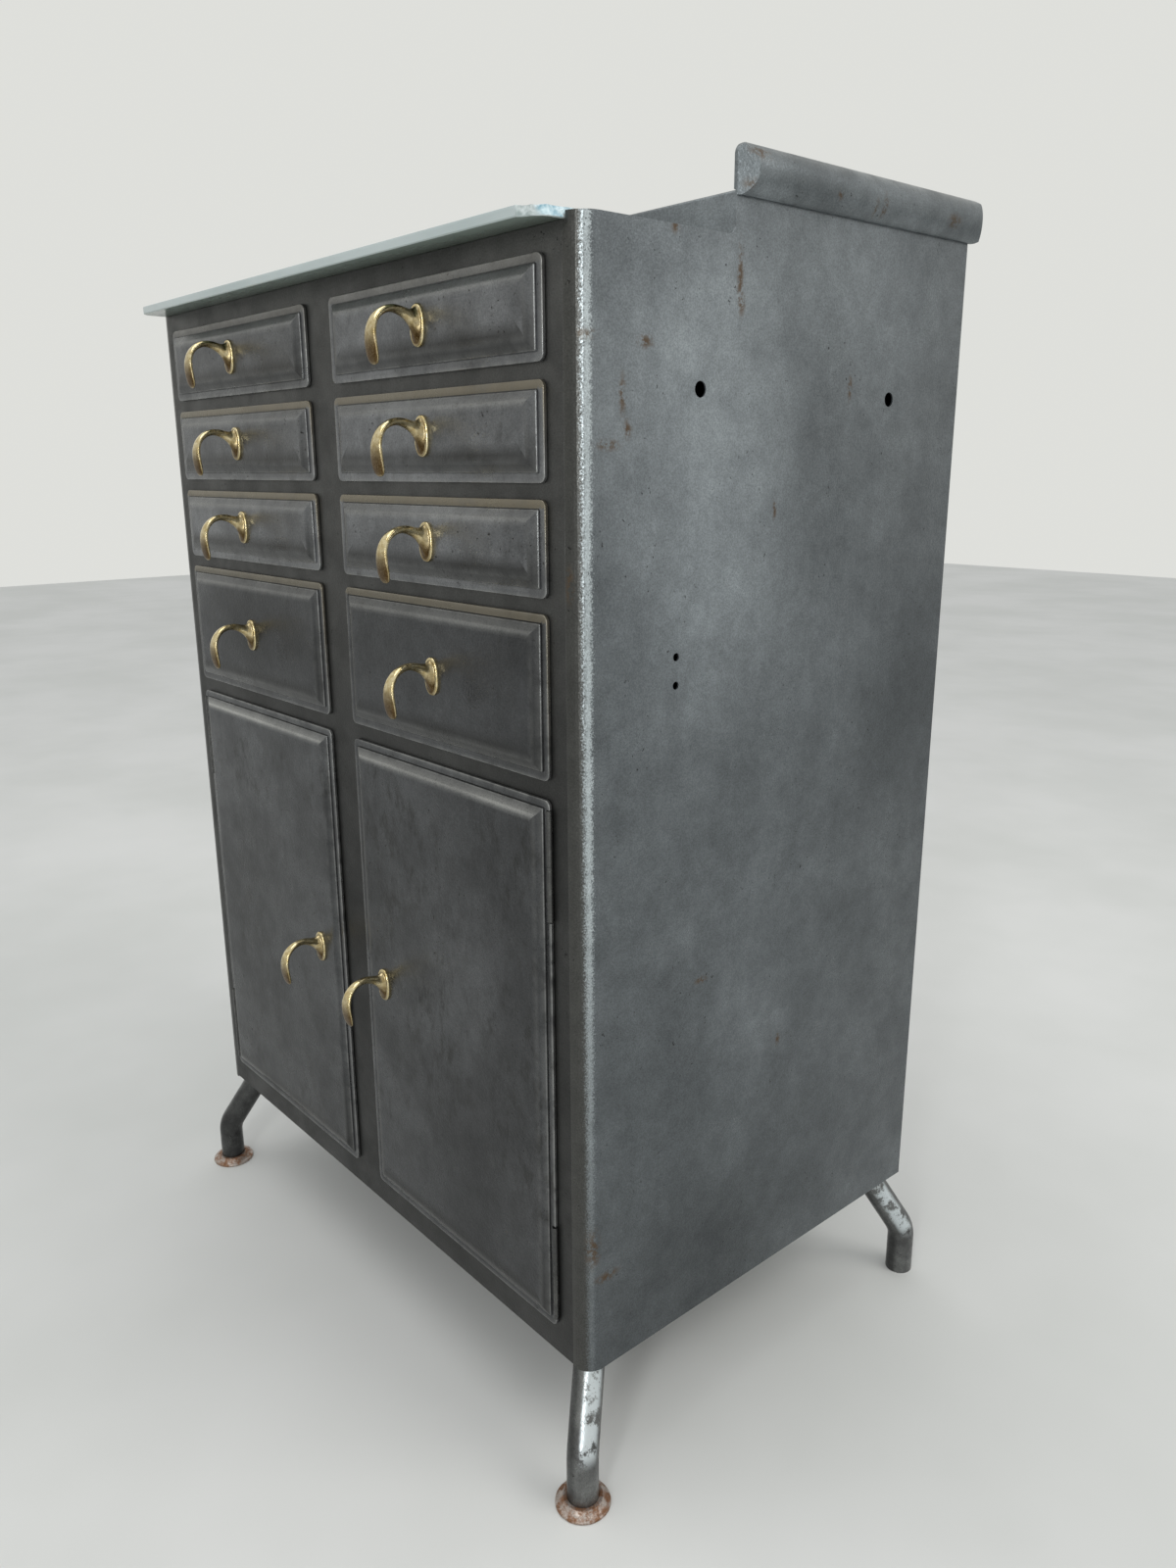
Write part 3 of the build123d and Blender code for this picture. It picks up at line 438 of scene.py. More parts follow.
def ring_mesh(name, rings, closed_ends=True, paint=None):
    """Joins rings of points with quads. Paint gives each ring's points their attribute values."""
    data = bpy.data.meshes.new(name)
    count = len(rings[0])
    points = [p for ring in rings for p in ring]
    faces = []
    for level in range(len(rings) - 1):
        for i in range(count):
            j = (i + 1) % count
            low, high = level * count, (level + 1) * count
            faces.append((low + i, low + j, high + j, high + i))
    if closed_ends:
        faces.append(tuple(reversed(range(count))))
        last = (len(rings) - 1) * count
        faces.append(tuple(range(last, last + count)))
    data.from_pydata([Vector(p) * MM for p in points], [], faces)
    data.update()
    for attribute, values in (paint or {}).items():
        layer = data.attributes.new(attribute, "FLOAT", "POINT")
        layer.data.foreach_set("value", values)
    fixed = bmesh.new()
    fixed.from_mesh(data)
    bmesh.ops.remove_doubles(fixed, verts=fixed.verts, dist=1e-6)
    bmesh.ops.recalc_face_normals(fixed, faces=fixed.faces)
    fixed.to_mesh(data)
    fixed.free()
    return data


def node_corners(node):
    """A CAD node's lowest and highest corner, in millimetres."""
    low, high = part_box(node)
    return low / MM, high / MM


# ---- pressed fronts ----
# The front's section, from inside the rim's back round the rim and up to the panel's flat:
# inset, height above the rim's back, corner radius, and how worn the metal is there.
RIM_HEIGHT = 3.0
PANEL_HEIGHT = 7.7
FRONT_SECTION = [
    (16.0, 0.0, 2.0, 0.0),
    (0.5, 0.0, 5.6, 0.2),
    (0.1, 0.15, 5.9, 0.8),
    (0.0, 0.5, 6.0, 0.8),
    (0.0, 2.3, 6.0, 0.7),
    (0.15, 2.7, 5.9, 1.0),
    (0.55, 2.95, 5.6, 1.0),
    (1.1, RIM_HEIGHT, 5.2, 0.45),
    (3.5, RIM_HEIGHT - 0.05, 3.4, 0.1),
    (6.1, RIM_HEIGHT - 0.1, 1.6, 0.05),
    (6.6, RIM_HEIGHT - 0.35, 1.3, 0.0),
    (7.0, RIM_HEIGHT - 0.35, 1.0, 0.0),
    (7.15, RIM_HEIGHT + 0.5, 0.9, 0.2),
    (7.45, RIM_HEIGHT + 0.95, 0.9, 0.75),
    (8.3, RIM_HEIGHT + 1.35, 1.0, 0.25),
    (12.6, PANEL_HEIGHT - 1.25, 1.6, 0.05),
    (13.8, PANEL_HEIGHT - 0.62, 2.0, 0.15),
    (15.2, PANEL_HEIGHT - 0.2, 2.4, 0.22),
    (17.0, PANEL_HEIGHT - 0.02, 3.0, 0.12),
    (20.0, PANEL_HEIGHT, 3.0, 0.0),
    (30.0, PANEL_HEIGHT, 3.0, 0.0),
]
# how strong the painted highlight on the panel's upper shoulder is at each inset
SHOULDER_HIGHLIGHTS = {8.3: 0.15, 12.6: 0.6, 13.8: 1.0, 15.2: 0.8, 17.0: 0.3}
CORNER_STEPS = 6
NOTCH_DEPTH = 4.1
NOTCH_GAP = 0.4
NOTCH_SLANT = 0.05
# where the warm colour, the painted shade and the soot lie: insets from the outline, and strengths
TOP_BAND = 6.3
RIM_INSET = 6.5
GROOVE = (6.3, 7.1)
BEVEL = (7, 18)
GROOVE_SHADE, FOOT_SHADE_AND_SOOT, LEFT_BEVEL_SHADE = 0.9, 0.85, 0.5


def rounded_loop(half_w, half_h, radius, levels):
    """Points round a rounded rectangle, with extra points at the given heights on both sides."""
    points = []
    straight = half_h - radius
    levels = [max(-straight, min(straight, level)) for level in levels]
    for sx, sz, start in ((1, 1, 0), (-1, 1, 90), (-1, -1, 180), (1, -1, 270)):
        for i in range(CORNER_STEPS + 1):
            turn = math.radians(start + 90 * i / CORNER_STEPS)
            points.append(
                (
                    sx * (half_w - radius) + radius * math.cos(turn),
                    sz * (half_h - radius) + radius * math.sin(turn),
                )
            )
        if start == 90:
            points += [(-half_w, level) for level in sorted(levels, reverse=True)]
        if start == 270:
            points += [(half_w, level) for level in sorted(levels)]
    return points


def pressed_front(node, material, notch_side=0, notches=(), warmth=1.0, highlight_strength=0.35):
    """A drawer or door front over its CAD node, cut away round the hinge barrels."""
    low, high = node_corners(node)
    middle = (low + high) / 2
    half_w, half_h = (high.x - low.x) / 2, (high.z - low.z) / 2
    back = high.y
    levels = []
    for z0, z1 in notches:
        from_middle, to_middle = z0 - middle.z, z1 - middle.z
        levels += [from_middle, from_middle + NOTCH_SLANT, to_middle - NOTCH_SLANT, to_middle]
    rings, wear, shoulder_highlight, warm, shade_and_grime = [], [], [], [], []
    for inset, rise, radius, worn in FRONT_SECTION:
        ring = []
        for x, z in rounded_loop(half_w - inset, half_h - inset, radius, levels):
            inside = any(z0 < z + middle.z < z1 for z0, z1 in notches)
            if inside and x * notch_side > half_w - NOTCH_DEPTH:
                x = notch_side * (half_w - NOTCH_DEPTH)
            ring.append((middle.x + x, back - rise, middle.z + z))
            wear.append(worn)
            # the painted highlight along the panel's upper shoulder
            on_shoulder = z > half_h - inset - 0.5
            shoulder_highlight.append(highlight_strength * SHOULDER_HIGHLIGHTS.get(inset, 0.0) if on_shoulder else 0.0)
            on_top = z > half_h - TOP_BAND and inset < RIM_INSET and rise > 0.4
            warm.append(warmth if on_top else 0.0)
            # painted shade in the groove and on the left bevel, and painted shade with soot along the foot
            at_foot = -z > half_h - inset - 3 and inset > 6
            at_left = -x > half_w - inset - 3 and BEVEL[0] < inset < BEVEL[1]
            shade_and_soot = GROOVE_SHADE * (GROOVE[0] < inset < GROOVE[1])
            if at_foot:
                shade_and_soot = FOOT_SHADE_AND_SOOT * (rise > 3.6) * (inset < 25)
            shade_and_grime.append(max(shade_and_soot, LEFT_BEVEL_SHADE * at_left))
        rings.append(ring)
    paint = {"wear": wear, "shoulder_highlight": shoulder_highlight, "warm": warm, "shade_and_grime": shade_and_grime}
    data = ring_mesh(node + "_form", rings, False, paint)
    mesh = bmesh.new()
    mesh.from_mesh(data)
    middle_edge = [e for e in mesh.edges if e.is_boundary and e.verts[0].co.y < (back - RIM_HEIGHT) * MM]
    bmesh.ops.contextual_create(mesh, geom=middle_edge)
    bmesh.ops.recalc_face_normals(mesh, faces=mesh.faces)
    mesh.to_mesh(data)
    mesh.free()
    make_piece(node + "_form", data, material, NODES[node]["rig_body"], [node])
    smooth_shading(data, 50)


# ---- pulls ----
# Sections of the cast hook from the plate's back to its tip: out, up, tilt in degrees, half
# width, half thickness, squareness of the section, and patina.
PLATE_W, PLATE_H = 9.5, 16.3
HOOK = [
    (0.0, 0.0, 0, PLATE_W, PLATE_H, 2.3, 0.2),
    (1.3, 0.0, 0, PLATE_W, PLATE_H, 2.3, 0.2),
    (2.2, 0.0, 0, PLATE_W - 0.35, PLATE_H - 0.4, 2.3, 0.1),
    (2.75, 0.0, 0, PLATE_W - 1.1, PLATE_H - 1.2, 2.3, 0.0),
    (2.7, 0.1, 0, PLATE_W - 1.9, PLATE_H - 2.2, 2.3, 0.2),
    (2.9, 0.5, 0, PLATE_W - 2.4, PLATE_H - 3.1, 2.1, 0.6),
    (3.8, 1.5, 0, PLATE_W - 3.1, PLATE_H - 4.7, 2.0, 0.5),
    (5.6, 3.0, 1, PLATE_W - 4.1, PLATE_H - 7.1, 2.0, 0.35),
    (8.0, 4.9, 3, 4.7, 6.8, 2.0, 0.2),
    (11.5, 7.2, 5, 4.2, 5.1, 2.0, 0.1),
    (16.5, 9.5, 3, 3.8, 3.9, 2.1, 0.0),
    (23.4, 10.8, 0, 3.9, 3.0, 2.2, 0.0),
    (30.3, 9.6, 20, 4.2, 2.8, 2.3, 0.0),
    (36.5, 6.1, 40, 4.8, 2.6, 2.4, 0.0),
    (41.0, 0.7, 58, 5.7, 2.4, 2.5, 0.05),
    (43.3, -5.8, 78, 6.8, 2.3, 2.6, 0.3),
    (43.7, -11.6, 88, 7.6, 2.2, 2.7, 0.7),
    (43.3, -17.6, 94, 8.1, 2.1, 2.7, 0.95),
    (42.5, -23.4, 98, 7.9, 2.0, 2.6, 1.0),
    (41.7, -27.6, 101, 6.7, 1.7, 2.4, 1.0),
    (41.2, -30.0, 103, 4.5, 1.2, 2.2, 0.8),
    (41.0, -31.0, 103, 1.6, 0.4, 2.0, 0.3),
]
HOOK_SIDES = 28
HOOK_STEPS = 3
PLATE_RISE = 2.4
FLARE_END = 9
STUD_SECTION = [(0, 0), (1.9, 0), (2.2, 0.4)]
STUD_RADIUS = 2.2
STUD_END = 1.0
STUD_OVERLAP = 0.5
NUT_SECTION = [(2.25, 0), (3.9, 0), (4.6, 0.5), (4.6, 2.7), (3.9, 3.2), (2.25, 3.2)]


def between(rows, steps):
    """The rows with smooth steps worked in between them."""
    found = []
    last = len(rows) - 1
    for i in range(last):
        p0, p1, p2, p3 = (rows[max(0, min(last, i + k))] for k in (-1, 0, 1, 2))
        for step in range(steps):
            t = step / steps
            found.append(
                tuple(
                    0.5 * (2 * b + (c - a) * t + (2 * a - 5 * b + 4 * c - d) * t * t
                    + (3 * b - a - 3 * c + d) * t**3)
                    for a, b, c, d in zip(p0, p1, p2, p3)
                )
            )
    return found + [rows[-1]]


def laid_back(form, x, y, z):
    """Turns a lathe's form to lie along Y, with its foot at the given place."""
    form.transform(Matrix.Translation(Vector((x, y, z)) * MM) @ Matrix.Rotation(math.pi / 2, 4, "X"))


def pull_form(node, panel, material):
    """A smooth cast hook in place of its CAD node, with the stud and nut behind the panel."""
    low, high = node_corners(node)
    x = (low.x + high.x) / 2
    top = high.z - PLATE_H
    body = NODES[node]["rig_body"]
    panel_y = node_corners(panel)[0].y
    rings, patina_and_dark_reflection = [], []
    for out, up, tilt, half_w, half_t, square, darkening in between(HOOK, HOOK_STEPS):
        lean = math.radians(tilt)
        ring = []
        for i in range(HOOK_SIDES):
            turn = 2 * math.pi * i / HOOK_SIDES
            c, s = math.cos(turn), math.sin(turn)
            wide = half_w * math.copysign(abs(c) ** (2 / square), c)
            thick = half_t * math.copysign(abs(s) ** (2 / square), s)
            y = panel_y - out - thick * math.sin(lean)
            ring.append((x + wide, y, top + up + thick * math.cos(lean)))
            # the downward faces of the flare and the hook carry painted dark reflection on top of the
            # patina
            below = max(0.0, -s)
            if out < FLARE_END:
                patina_and_dark_reflection.append(min(1.0, darkening + 0.7 * below * (out > PLATE_RISE)))
            else:
                faces_out = min(1.0, max(0.0, (s - 0.05) / 0.30))
                patina_and_dark_reflection.append(max(darkening * faces_out, 0.6 * below * (up > 0)))
        rings.append(ring)
    data = ring_mesh(node + "_form", rings, True, {"patina_and_dark_reflection": patina_and_dark_reflection})
    make_piece(node + "_form", data, material, body, [node])
    smooth_shading(data, 60)
    stud_back = high.y
    stud_end = (STUD_RADIUS, stud_back - panel_y + STUD_OVERLAP)
    stud = lathe(node + "_stud", STUD_SECTION + [stud_end], 12)
    laid_back(stud, x, stud_back, top)
    make_piece(node + "_stud", stud, material, body)
    nut = lathe(node + "_nut", NUT_SECTION, 6)
    laid_back(nut, x, stud_back - STUD_END, top)
    make_piece(node + "_nut", nut, material, body)


def lathe(name, section, sides):
    """A turned form: (radius, height) points spun round the Z axis."""
    rings = []
    for radius, height in section:
        ring = []
        for i in range(sides):
            turn = 2 * math.pi * i / sides
            ring.append((radius * math.cos(turn), radius * math.sin(turn), height))
        rings.append(ring)
    return ring_mesh(name, rings, False)


# ---- legs ----
LEG_RADIUS = 14.3
LEG_BEND_HEIGHT = 52.0
LEG_BEND_RADIUS = 38.0
LEG_BORE = 12.7
LEG_SIDES = 48
HALF_LEG_PLATE = 20.0
# towards which the painted highlight streak on the legs faces, outwards and forwards; it was chosen from
# where the photograph was taken
HIGHLIGHT_OUT, HIGHLIGHT_Y = 0.94, -0.34
FLANGE_RADIUS = 24.9
FLANGE_SIDES = 64
PLUG_SECTION = [(0, 0.2), (LEG_BORE - 1, 0.2), (LEG_BORE, 0.8), (LEG_RADIUS, 0.3)]
FLANGE_SECTION = [
    (LEG_RADIUS + 0.1, 8.0),
    (LEG_RADIUS + 0.1, 0.4),
    (LEG_RADIUS + 0.6, 0.0),
    (24.3, 0.0),
    (FLANGE_RADIUS, 0.7),
    (FLANGE_RADIUS, 2.2),
    (24.5, 2.85),
    (23.6, 3.2),
    (21.5, 3.9),
    (19.6, 5.4),
    (18.6, 7.2),
    (17.9, 8.0),
    (LEG_RADIUS + 0.6, 8.3),
    (LEG_RADIUS + 0.1, 8.0),
]


def leg_path(foot, head):
    """Points down the middle of a leg, from the floor to its head, with a round bend."""
    knee = Vector((foot.x, foot.y, LEG_BEND_HEIGHT))
    slope = (head - knee).normalized()
    half_turn = slope.angle(Vector((0, 0, 1))) / 2
    setback = LEG_BEND_RADIUS * math.tan(half_turn)
    start, end = knee - Vector((0, 0, setback)), knee + slope * setback
    path = [foot.copy(), foot + Vector((0, 0, 1.0)), start]
    steps = 8
    for i in range(1, steps):
        t = i / steps
        path.append(start * (1 - t) ** 2 + knee * 2 * t * (1 - t) + end * t**2)
    return path + [end, head]


def tube(name, path, radius, sides, highlight_streak):
    """Rings round a path that starts upright, cut level at the top, for a painted highlight streak at the
    angle.
    """
    rings, highlight_side = [], []
    for i, point in enumerate(path):
        ahead = (path[min(i + 1, len(path) - 1)] - path[max(i - 1, 0)]).normalized()
        side = Vector((0, 0, 1)).cross(ahead)
        side = side.normalized() if side.length > 1e-4 else Vector((0, 0, 0))
        turn = Matrix.Identity(3)
        if side.length:
            turn = Matrix.Rotation(ahead.angle(Vector((0, 0, 1))), 3, side)
        ring = []
        for k in range(sides):
            angle = 2 * math.pi * k / sides
            spoke = turn @ Vector((radius * math.cos(angle), radius * math.sin(angle), 0))
            highlight_side.append(math.cos(angle - highlight_streak))
            if i == len(path) - 1:
                spoke = spoke - ahead * (spoke.z / ahead.z)
            ring.append(point + spoke)
        rings.append(ring)
    return ring_mesh(name, rings, False, {"highlight_side": highlight_side})


def make_legs(leg_material, foot_material, rubber):
    """Four bent tubes, three turned feet and one plug, over their CAD nodes."""
    low, high = node_corners("legs_front")
    rear_high = node_corners("legs_rear")[1]
    foot_x = high.x - LEG_RADIUS
    front_foot_y, rear_foot_y = low.y + LEG_RADIUS, rear_high.y - LEG_RADIUS
    pan_z = high.z
    plate_low, plate_high = node_corners("leg_plates")
    head_x = plate_high.x - HALF_LEG_PLATE
    front_head_y, rear_head_y = plate_low.y + HALF_LEG_PLATE, plate_high.y - HALF_LEG_PLATE
    made = {"legs_front": [], "legs_rear": [], "feet": []}
    for sx in (1, -1):
        for node, foot_y, head_y in (
            ("legs_front", front_foot_y, front_head_y),
            ("legs_rear", rear_foot_y, rear_head_y),
        ):
            foot = Vector((sx * foot_x, foot_y, 0.0))
            head = Vector((sx * head_x, head_y, pan_z))
            bare = sx > 0 and node == "legs_rear"
            side = "right" if sx > 0 else "left"
            name = f"{node}_{side}"
            highlight_streak = math.atan2(HIGHLIGHT_Y, HIGHLIGHT_OUT * sx)
            data = tube(name, leg_path(foot, head), LEG_RADIUS, LEG_SIDES, highlight_streak)
            piece = make_piece(name + "_tube", data, leg_material, "cabinet")
            smooth_shading(data, 40)
            made[node].append(piece)
            if bare:
                kind, section, facets, finish = "_plug", PLUG_SECTION, LEG_SIDES, rubber
            else:
                kind, section, facets, finish = "_foot", FLANGE_SECTION, FLANGE_SIDES, foot_material
            end = lathe(name + kind, section, facets)
            end.transform(Matrix.Translation(foot * MM))
            made["feet"].append(make_piece(name + kind, end, finish, "cabinet"))
            smooth_shading(end, 40)
    for node, pieces in made.items():
        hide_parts(node)


# ---- glass top ----
# The chip's outline from the front edge round to the right one, measured from the corner, and
# how deep the break slopes at each point.
GLASS_CHIP = [
    (-17.0, 0.0),
    (-14.5, 3.0),
    (-11.0, 4.6),
    (-8.0, 5.4),
    (-5.5, 9.0),
    (-2.6, 11.6),
    (-1.2, 15.0),
    (-0.9, 21.0),
    (-0.5, 28.0),
    (0.0, 36.0),
]
GLASS_CHIP_DEPTH = [0.0, 2.4, 3.4, 2.2, 3.8, 3.0, 1.5, 1.8, 1.2, 0.0]
GLASS_THICKNESS = 7.5
GLASS_EDGE = 0.8
GLASS_CORNER = 12.0
GLASS_CORNER_STEPS = 8
# how near the outline a point counts as being at a side, at the softened front or left edge,
# and at the right or rear one
SIDE_BAND = 40
FRONT_LEFT_BAND, RIGHT_REAR_BAND = 6, 1
# the broken faces: how far from the corner they reach, and where they start from the plate's
# right edge, front edge and underside
CHIP_REACH_X, CHIP_REACH_Y = 17.5, 34
CHIP_FROM_X, CHIP_FROM_Y, CHIP_FROM_Z = 0.5, 0.6, 0.9


def make_glass(clear, broken):
    """The plate, with softened edges, a rounded left corner and the right one broken away."""
    low, high = node_corners("glass_top")
    loop = []
    for i in range(GLASS_CORNER_STEPS + 1):
        turn = math.radians(180 + 90 * i / GLASS_CORNER_STEPS)
        loop.append(
            (low.x + GLASS_CORNER * (1 + math.cos(turn)), low.y + GLASS_CORNER * (1 + math.sin(turn)), 0.0)
        )
    for (dx, dy), depth in zip(GLASS_CHIP, GLASS_CHIP_DEPTH):
        loop.append((high.x + dx, low.y + dy, depth))
    loop += [(high.x, high.y, 0.0), (low.x, high.y, 0.0)]
    middle_y = (low.y + high.y) / 2

    def inward(x, y, amount):
        """Moves a point near the plate's outline in from it."""
        out_x = 1 if x > high.x - SIDE_BAND else -1 if x < low.x + SIDE_BAND else 0
        out_y = -1 if y < middle_y else 1
        near_x = x > high.x - RIGHT_REAR_BAND or x < low.x + FRONT_LEFT_BAND
        near_y = y < low.y + FRONT_LEFT_BAND or y > high.y - RIGHT_REAR_BAND
        return x - out_x * amount * near_x, y - out_y * amount * near_y

    # height, inset, and how far the break has sloped
    levels = [
        (0.0, GLASS_EDGE, 0.0),
        (GLASS_EDGE, 0.0, 0.0),
        (3.0, 0.0, 0.35),
        (5.2, 0.0, 0.8),
        (GLASS_THICKNESS - GLASS_EDGE, 0.0, 1.0),
        (GLASS_THICKNESS - GLASS_EDGE * 0.3, GLASS_EDGE * 0.3, 1.05),
        (GLASS_THICKNESS, GLASS_EDGE, 1.1),
    ]
    rings = []
    for height, inset, cut in levels:
        ring = []
        for x, y, depth in loop:
            x, y = inward(x, y, inset)
            ring.append((x - depth * cut * 0.8, y + depth * cut * 0.6, low.z + height))
        rings.append(ring)
    data = ring_mesh("glass_plate", rings, True)
    data.materials.clear()
    data.materials.append(clear)
    data.materials.append(broken)
    for face in data.polygons:
        centre = face.center / MM
        on_rim = len(face.vertices) < 5 and centre.z > low.z + CHIP_FROM_Z
        across = high.x - CHIP_REACH_X < centre.x < high.x - CHIP_FROM_X
        along = low.y + CHIP_FROM_Y < centre.y < low.y + CHIP_REACH_Y
        face.material_index = 1 if on_rim and across and along else 0
    make_piece("glass_plate", data, None, "cabinet", ["glass_top"])
    smooth_shading(data, 28)


# ---- room ----
FLOOR_REACH = 9.0
FLOOR_TONES = (grey(0.60, 0.605, 0.575), grey(0.67, 0.67, 0.645))


def make_room():
    """A pale floor, a pale surround and soft lights."""
    floor_shader = Shader("pale_floor")
    tone = floor_shader.noise(1.3, 4.0, 0.6)
    floor_shader.set("Base Color", floor_shader.mix(floor_shader.span(tone, 0.3, 0.7), *FLOOR_TONES))
    floor_shader.set("Roughness", 0.8)
    data = bpy.data.meshes.new("floor")
    corners = [(x * FLOOR_REACH, y * FLOOR_REACH, 0) for x, y in ((-1, -1), (1, -1), (1, 1), (-1, 1))]
    data.from_pydata(corners, [], [(0, 1, 2, 3)])
    data.materials.append(floor_shader.material)
    floor = bpy.data.objects.new("floor", data)
    bpy.context.scene.collection.objects.link(floor)

    world = bpy.data.worlds.new("surround")
    bpy.context.scene.world = world
    world.use_nodes = True
    tree = world.node_tree
    seen = tree.nodes["Background"]
    seen.inputs["Color"].default_value = (0.735, 0.74, 0.71, 1)
    seen.inputs["Strength"].default_value = 1.0
    light = tree.nodes.new("ShaderNodeBackground")
    light.inputs["Color"].default_value = (0.96, 0.98, 1.0, 1)
    upwards = tree.nodes.new("ShaderNodeSeparateXYZ")
    tree.links.new(tree.nodes.new("ShaderNodeTexCoord").outputs["Generated"], upwards.inputs[0])
    overhead = tree.nodes.new("ShaderNodeMapRange")
    overhead.inputs["To Min"].default_value = 0.34
    overhead.inputs["To Max"].default_value = 1.05
    tree.links.new(upwards.outputs["Z"], overhead.inputs["Value"])
    tree.links.new(overhead.outputs[0], light.inputs["Strength"])
    choose = tree.nodes.new("ShaderNodeMixShader")
    ray = tree.nodes.new("ShaderNodeLightPath")
    shown = ray.outputs["Is Camera Ray"]
    for kind in ("Is Glossy Ray", "Is Transmission Ray"):
        either = tree.nodes.new("ShaderNodeMath")
        either.operation = "MAXIMUM"
        tree.links.new(shown, either.inputs[0])
        tree.links.new(ray.outputs[kind], either.inputs[1])
        shown = either.outputs[0]
    tree.links.new(shown, choose.inputs[0])
    tree.links.new(light.outputs[0], choose.inputs[1])
    tree.links.new(seen.outputs[0], choose.inputs[2])
    tree.links.new(choose.outputs[0], tree.nodes["World Output"].inputs[0])

    for name, at, towards, size, power, colour in (
        ("side_key", (2.4, 1.0, 3.0), (0.3, 0, 0.8), (1.6, 1.6), 30, (1.0, 0.99, 0.98)),
        ("corner_light", (1.85, -2.75, 1.35), (0.35, -0.2, 0.65), (0.35, 2.2), 30, (0.96, 0.99, 1.0)),
        ("top", (-0.4, -0.8, 3.4), (0, -0.1, 1.0), (2.2, 1.6), 18, (1.0, 1.0, 1.0)),
    ):
        data = bpy.data.lights.new(name, "AREA")
        data.shape = "RECTANGLE"
        data.size, data.size_y = size
        data.energy = power
        data.color = colour
        lamp = bpy.data.objects.new(name, data)
        lamp.location = at
        lamp.rotation_mode = "QUATERNION"
        lamp.rotation_quaternion = (Vector(towards) - Vector(at)).to_track_quat("-Z", "Y")
        bpy.context.scene.collection.objects.link(lamp)


# ---- the part ----
FRONT_TONES = (grey(0.070, 0.072, 0.075), grey(0.135, 0.139, 0.145))
SIDE_TONES = (grey(0.100, 0.110, 0.117), grey(0.175, 0.192, 0.203))
CAP_TONES = (grey(0.118, 0.131, 0.138), grey(0.205, 0.226, 0.238))
FRAME_TONES = (grey(0.055, 0.055, 0.053), grey(0.085, 0.085, 0.082))
# Centre and reach in mm, and how much paler or darker the sheet is there. They were placed one by one, and
# their strengths set by comparing tones in the render with the photograph.
# These patches are partly the sheet's own tone and patina and partly painted reflection and shade.
SIDE_TONE_AND_LIGHT_PATCHES = [
    ((355, -120, 930), (300, 190, 330), 0.85),
    ((355, -90, 830), (300, 150, 200), 0.28),
    ((355, 130, 1040), (300, 170, 150), 0.55),
    ((355, -130, 140), (300, 320, 230), -0.42),
    ((355, 190, 640), (200, 120, 420), -0.18),
    ((355, -20, 470), (200, 120, 160), 0.20),
]
FRONT_TONE_AND_LIGHT_PATCHES = [
    ((-171, -230, 600), (260, 90, 150), 0.60),
    ((-171, -230, 330), (260, 90, 300), -0.12),
    ((-171, -230, 715), (220, 90, 75), -0.45),
    ((-171, -230, 1000), (220, 90, 150), -0.38),
    ((171, -230, 900), (220, 90, 75), 0.18),
    ((200, -230, 470), (150, 90, 190), 0.22),
    ((230, -230, 200), (260, 90, 150), -0.22),
]
FRAME_TONE_AND_LIGHT_PATCHES = [((0, -225, 420), (90, 60, 330), -0.35)]
SIDES = ("left", "right")
ROWS = ("1", "2", "3", "4")
WARMTH = {"1": 0.25, "2": 0.9, "3": 1.0, "4": 0.8}
GAP_BETWEEN_HINGES = 280.0
INNER_TONES = (grey(0.12), grey(0.21, 0.21, 0.205))
LEG_TONES = (grey(0.08), grey(0.18, 0.185, 0.18))
HINGE_TONES = (grey(0.055), grey(0.10, 0.10, 0.095))
# the painted shade on the front half of each rounded front corner
CORNER_SHADE_TONE = grey(0.066, 0.066, 0.062)


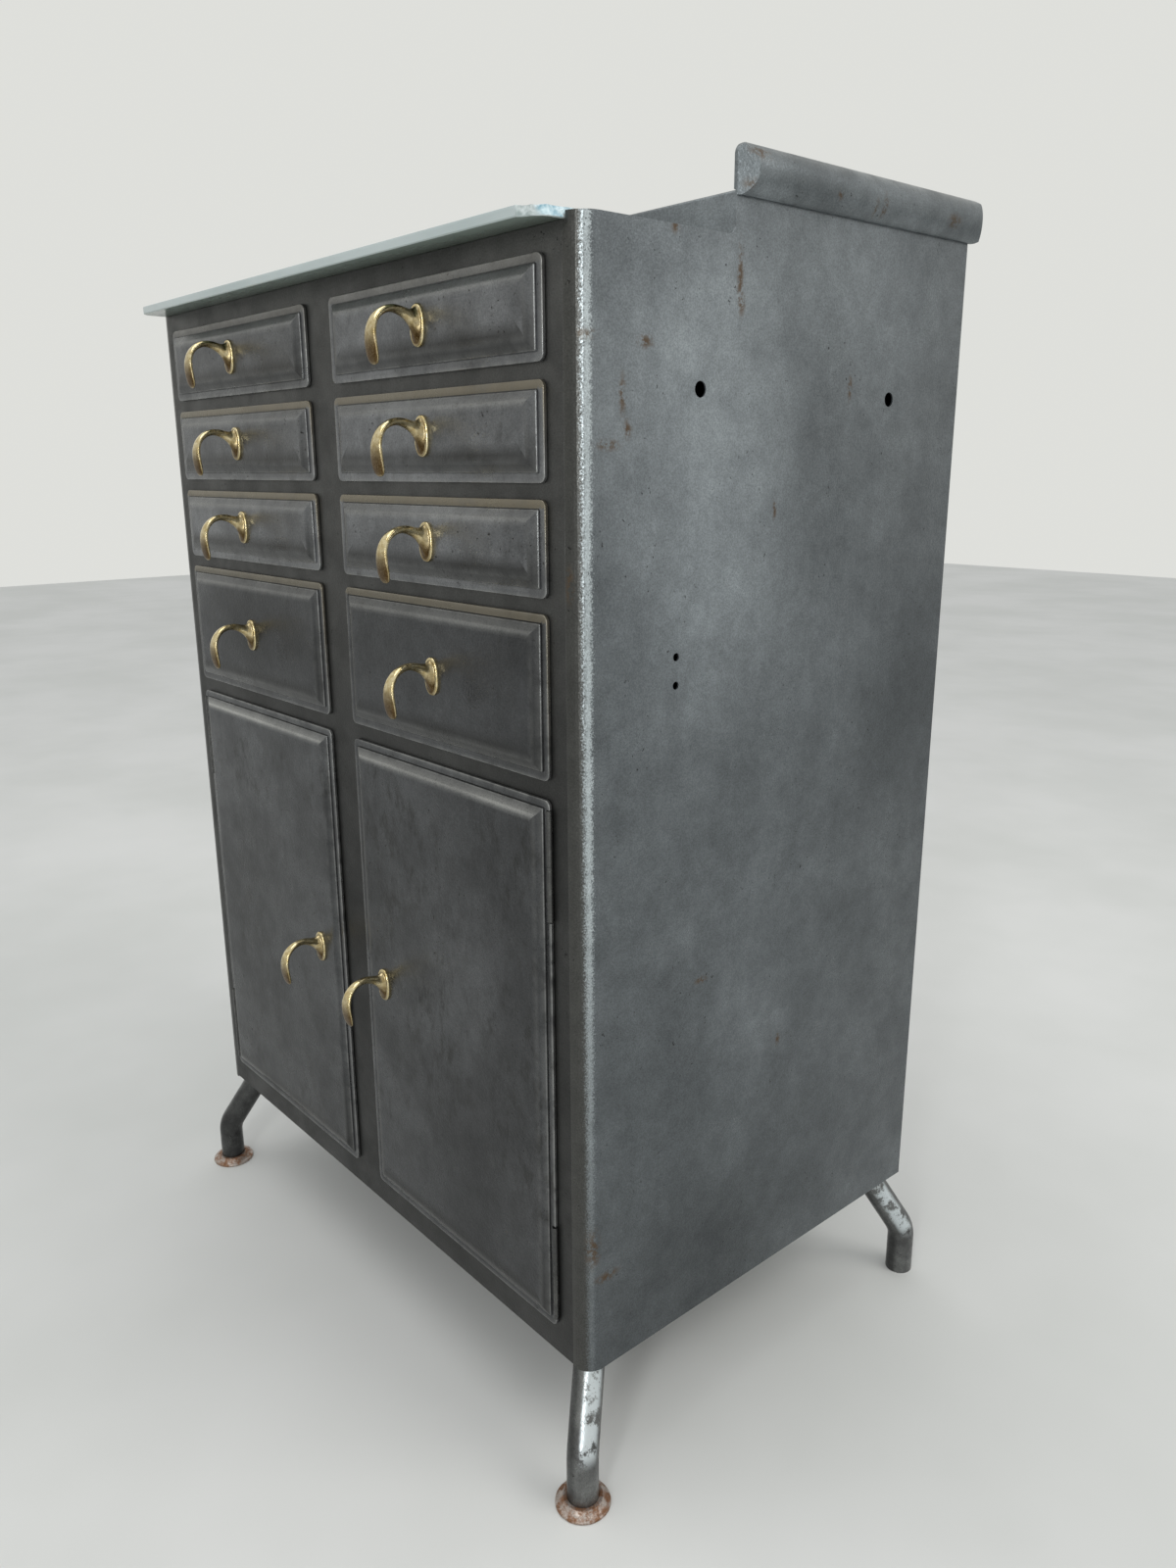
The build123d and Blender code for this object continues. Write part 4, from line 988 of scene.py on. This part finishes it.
def main():
    front_look = {"rough": (0.24, 0.36), "pores": 0.8, "levels": (0.780, 0.800, 0.62, 1.38)}
    front_steel = steel(
        "front_steel", *FRONT_TONES, cloud=5.0, tone_and_light_patches=FRONT_TONE_AND_LIGHT_PATCHES, fronts=True, **front_look
    )
    frame_look = {"rough": (0.38, 0.50), "pores": 0.6, "levels": (0.50, 0.92, 0.56, 0.95)}
    frame_steel = steel("frame_steel", *FRAME_TONES, cloud=6.0, tone_and_light_patches=FRAME_TONE_AND_LIGHT_PATCHES, **frame_look)
    side_look = {"rough": (0.26, 0.38), "pores": 0.45, "stains": SIDE_STAINS, "corner": CORNER_SHADE_TONE}
    side_steel = steel("side_steel", *SIDE_TONES, cloud=3.5, tone_and_light_patches=SIDE_TONE_AND_LIGHT_PATCHES, **side_look)
    cap_steel = steel(
        "cap_steel", *CAP_TONES, cloud=9.0, rough=(0.28, 0.42), pores=0.5, stains=CAP_STAINS
    )
    inner_steel = steel("inner_steel", *INNER_TONES, cloud=6.0, rough=(0.42, 0.58), pores=0.4)
    leg_steel = steel("leg_steel", *LEG_TONES, cloud=22.0, rough=(0.26, 0.38), pores=1.0, leg_highlight=True)
    hinge_steel = steel("hinge_steel", *HINGE_TONES, cloud=40.0, rough=(0.24, 0.36), pores=0.4)
    yellow = brass()

    for side in SIDES:
        dressed(f"side_panel_{side}", side_steel, 0.45, 3)
        dressed(f"wing_cap_{side}", cap_steel, 0.5, 3)
        dressed(f"runners_{side}", inner_steel, 0)
        dressed(f"shelf_{side}", inner_steel, 0.2)
        for row in ROWS:
            node = f"drawer_front_{side}_{row}"
            pull = f"drawer_pull_{side}_{row}"
            pressed_front(node, front_steel, warmth=WARMTH[row])
            dressed(f"drawer_box_{side}_{row}", inner_steel, 0.2)
            pull_form(pull, node, yellow)
        skin, pull = f"door_skin_{side}", f"door_pull_{side}"
        leaf_high = node_corners(f"door_hinge_leaves_{side}")[1]
        frame_low = node_corners("hinge_frame_leaves")[0]
        barrel = (leaf_high.z - frame_low.z - GAP_BETWEEN_HINGES) / 2
        notches = [
            (frame_low.z - NOTCH_GAP, frame_low.z + barrel + NOTCH_GAP),
            (leaf_high.z - barrel - NOTCH_GAP, leaf_high.z + NOTCH_GAP),
        ]
        pressed_front(skin, front_steel, 1 if side == "right" else -1, notches, 0.0, 1.0)
        dressed(f"door_inner_{side}", inner_steel, 0.3)
        dressed(f"door_hinge_leaves_{side}", hinge_steel, 0.15)
        pull_form(pull, skin, yellow)
    dressed("face_frame", frame_steel, 0.3)
    dressed("back_panel", side_steel, 0.3)
    dressed("bottom_pan", inner_steel, 0.3)
    dressed("top_deck", side_steel, 0)
    for node in ("centre_partition", "drawer_dividers", "runner_uprights", "shelf_brackets", "leg_plates"):
        dressed(node, inner_steel, 0)
    dressed("door_catches", hinge_steel, 0)
    dressed("hinge_frame_leaves", hinge_steel, 0.15)
    make_legs(leg_steel, rusty_foot(), plug_rubber())
    make_glass(glass(), broken_glass())


make_camera()
make_room()
main()
bpy.context.scene.view_settings.view_transform = "Standard"
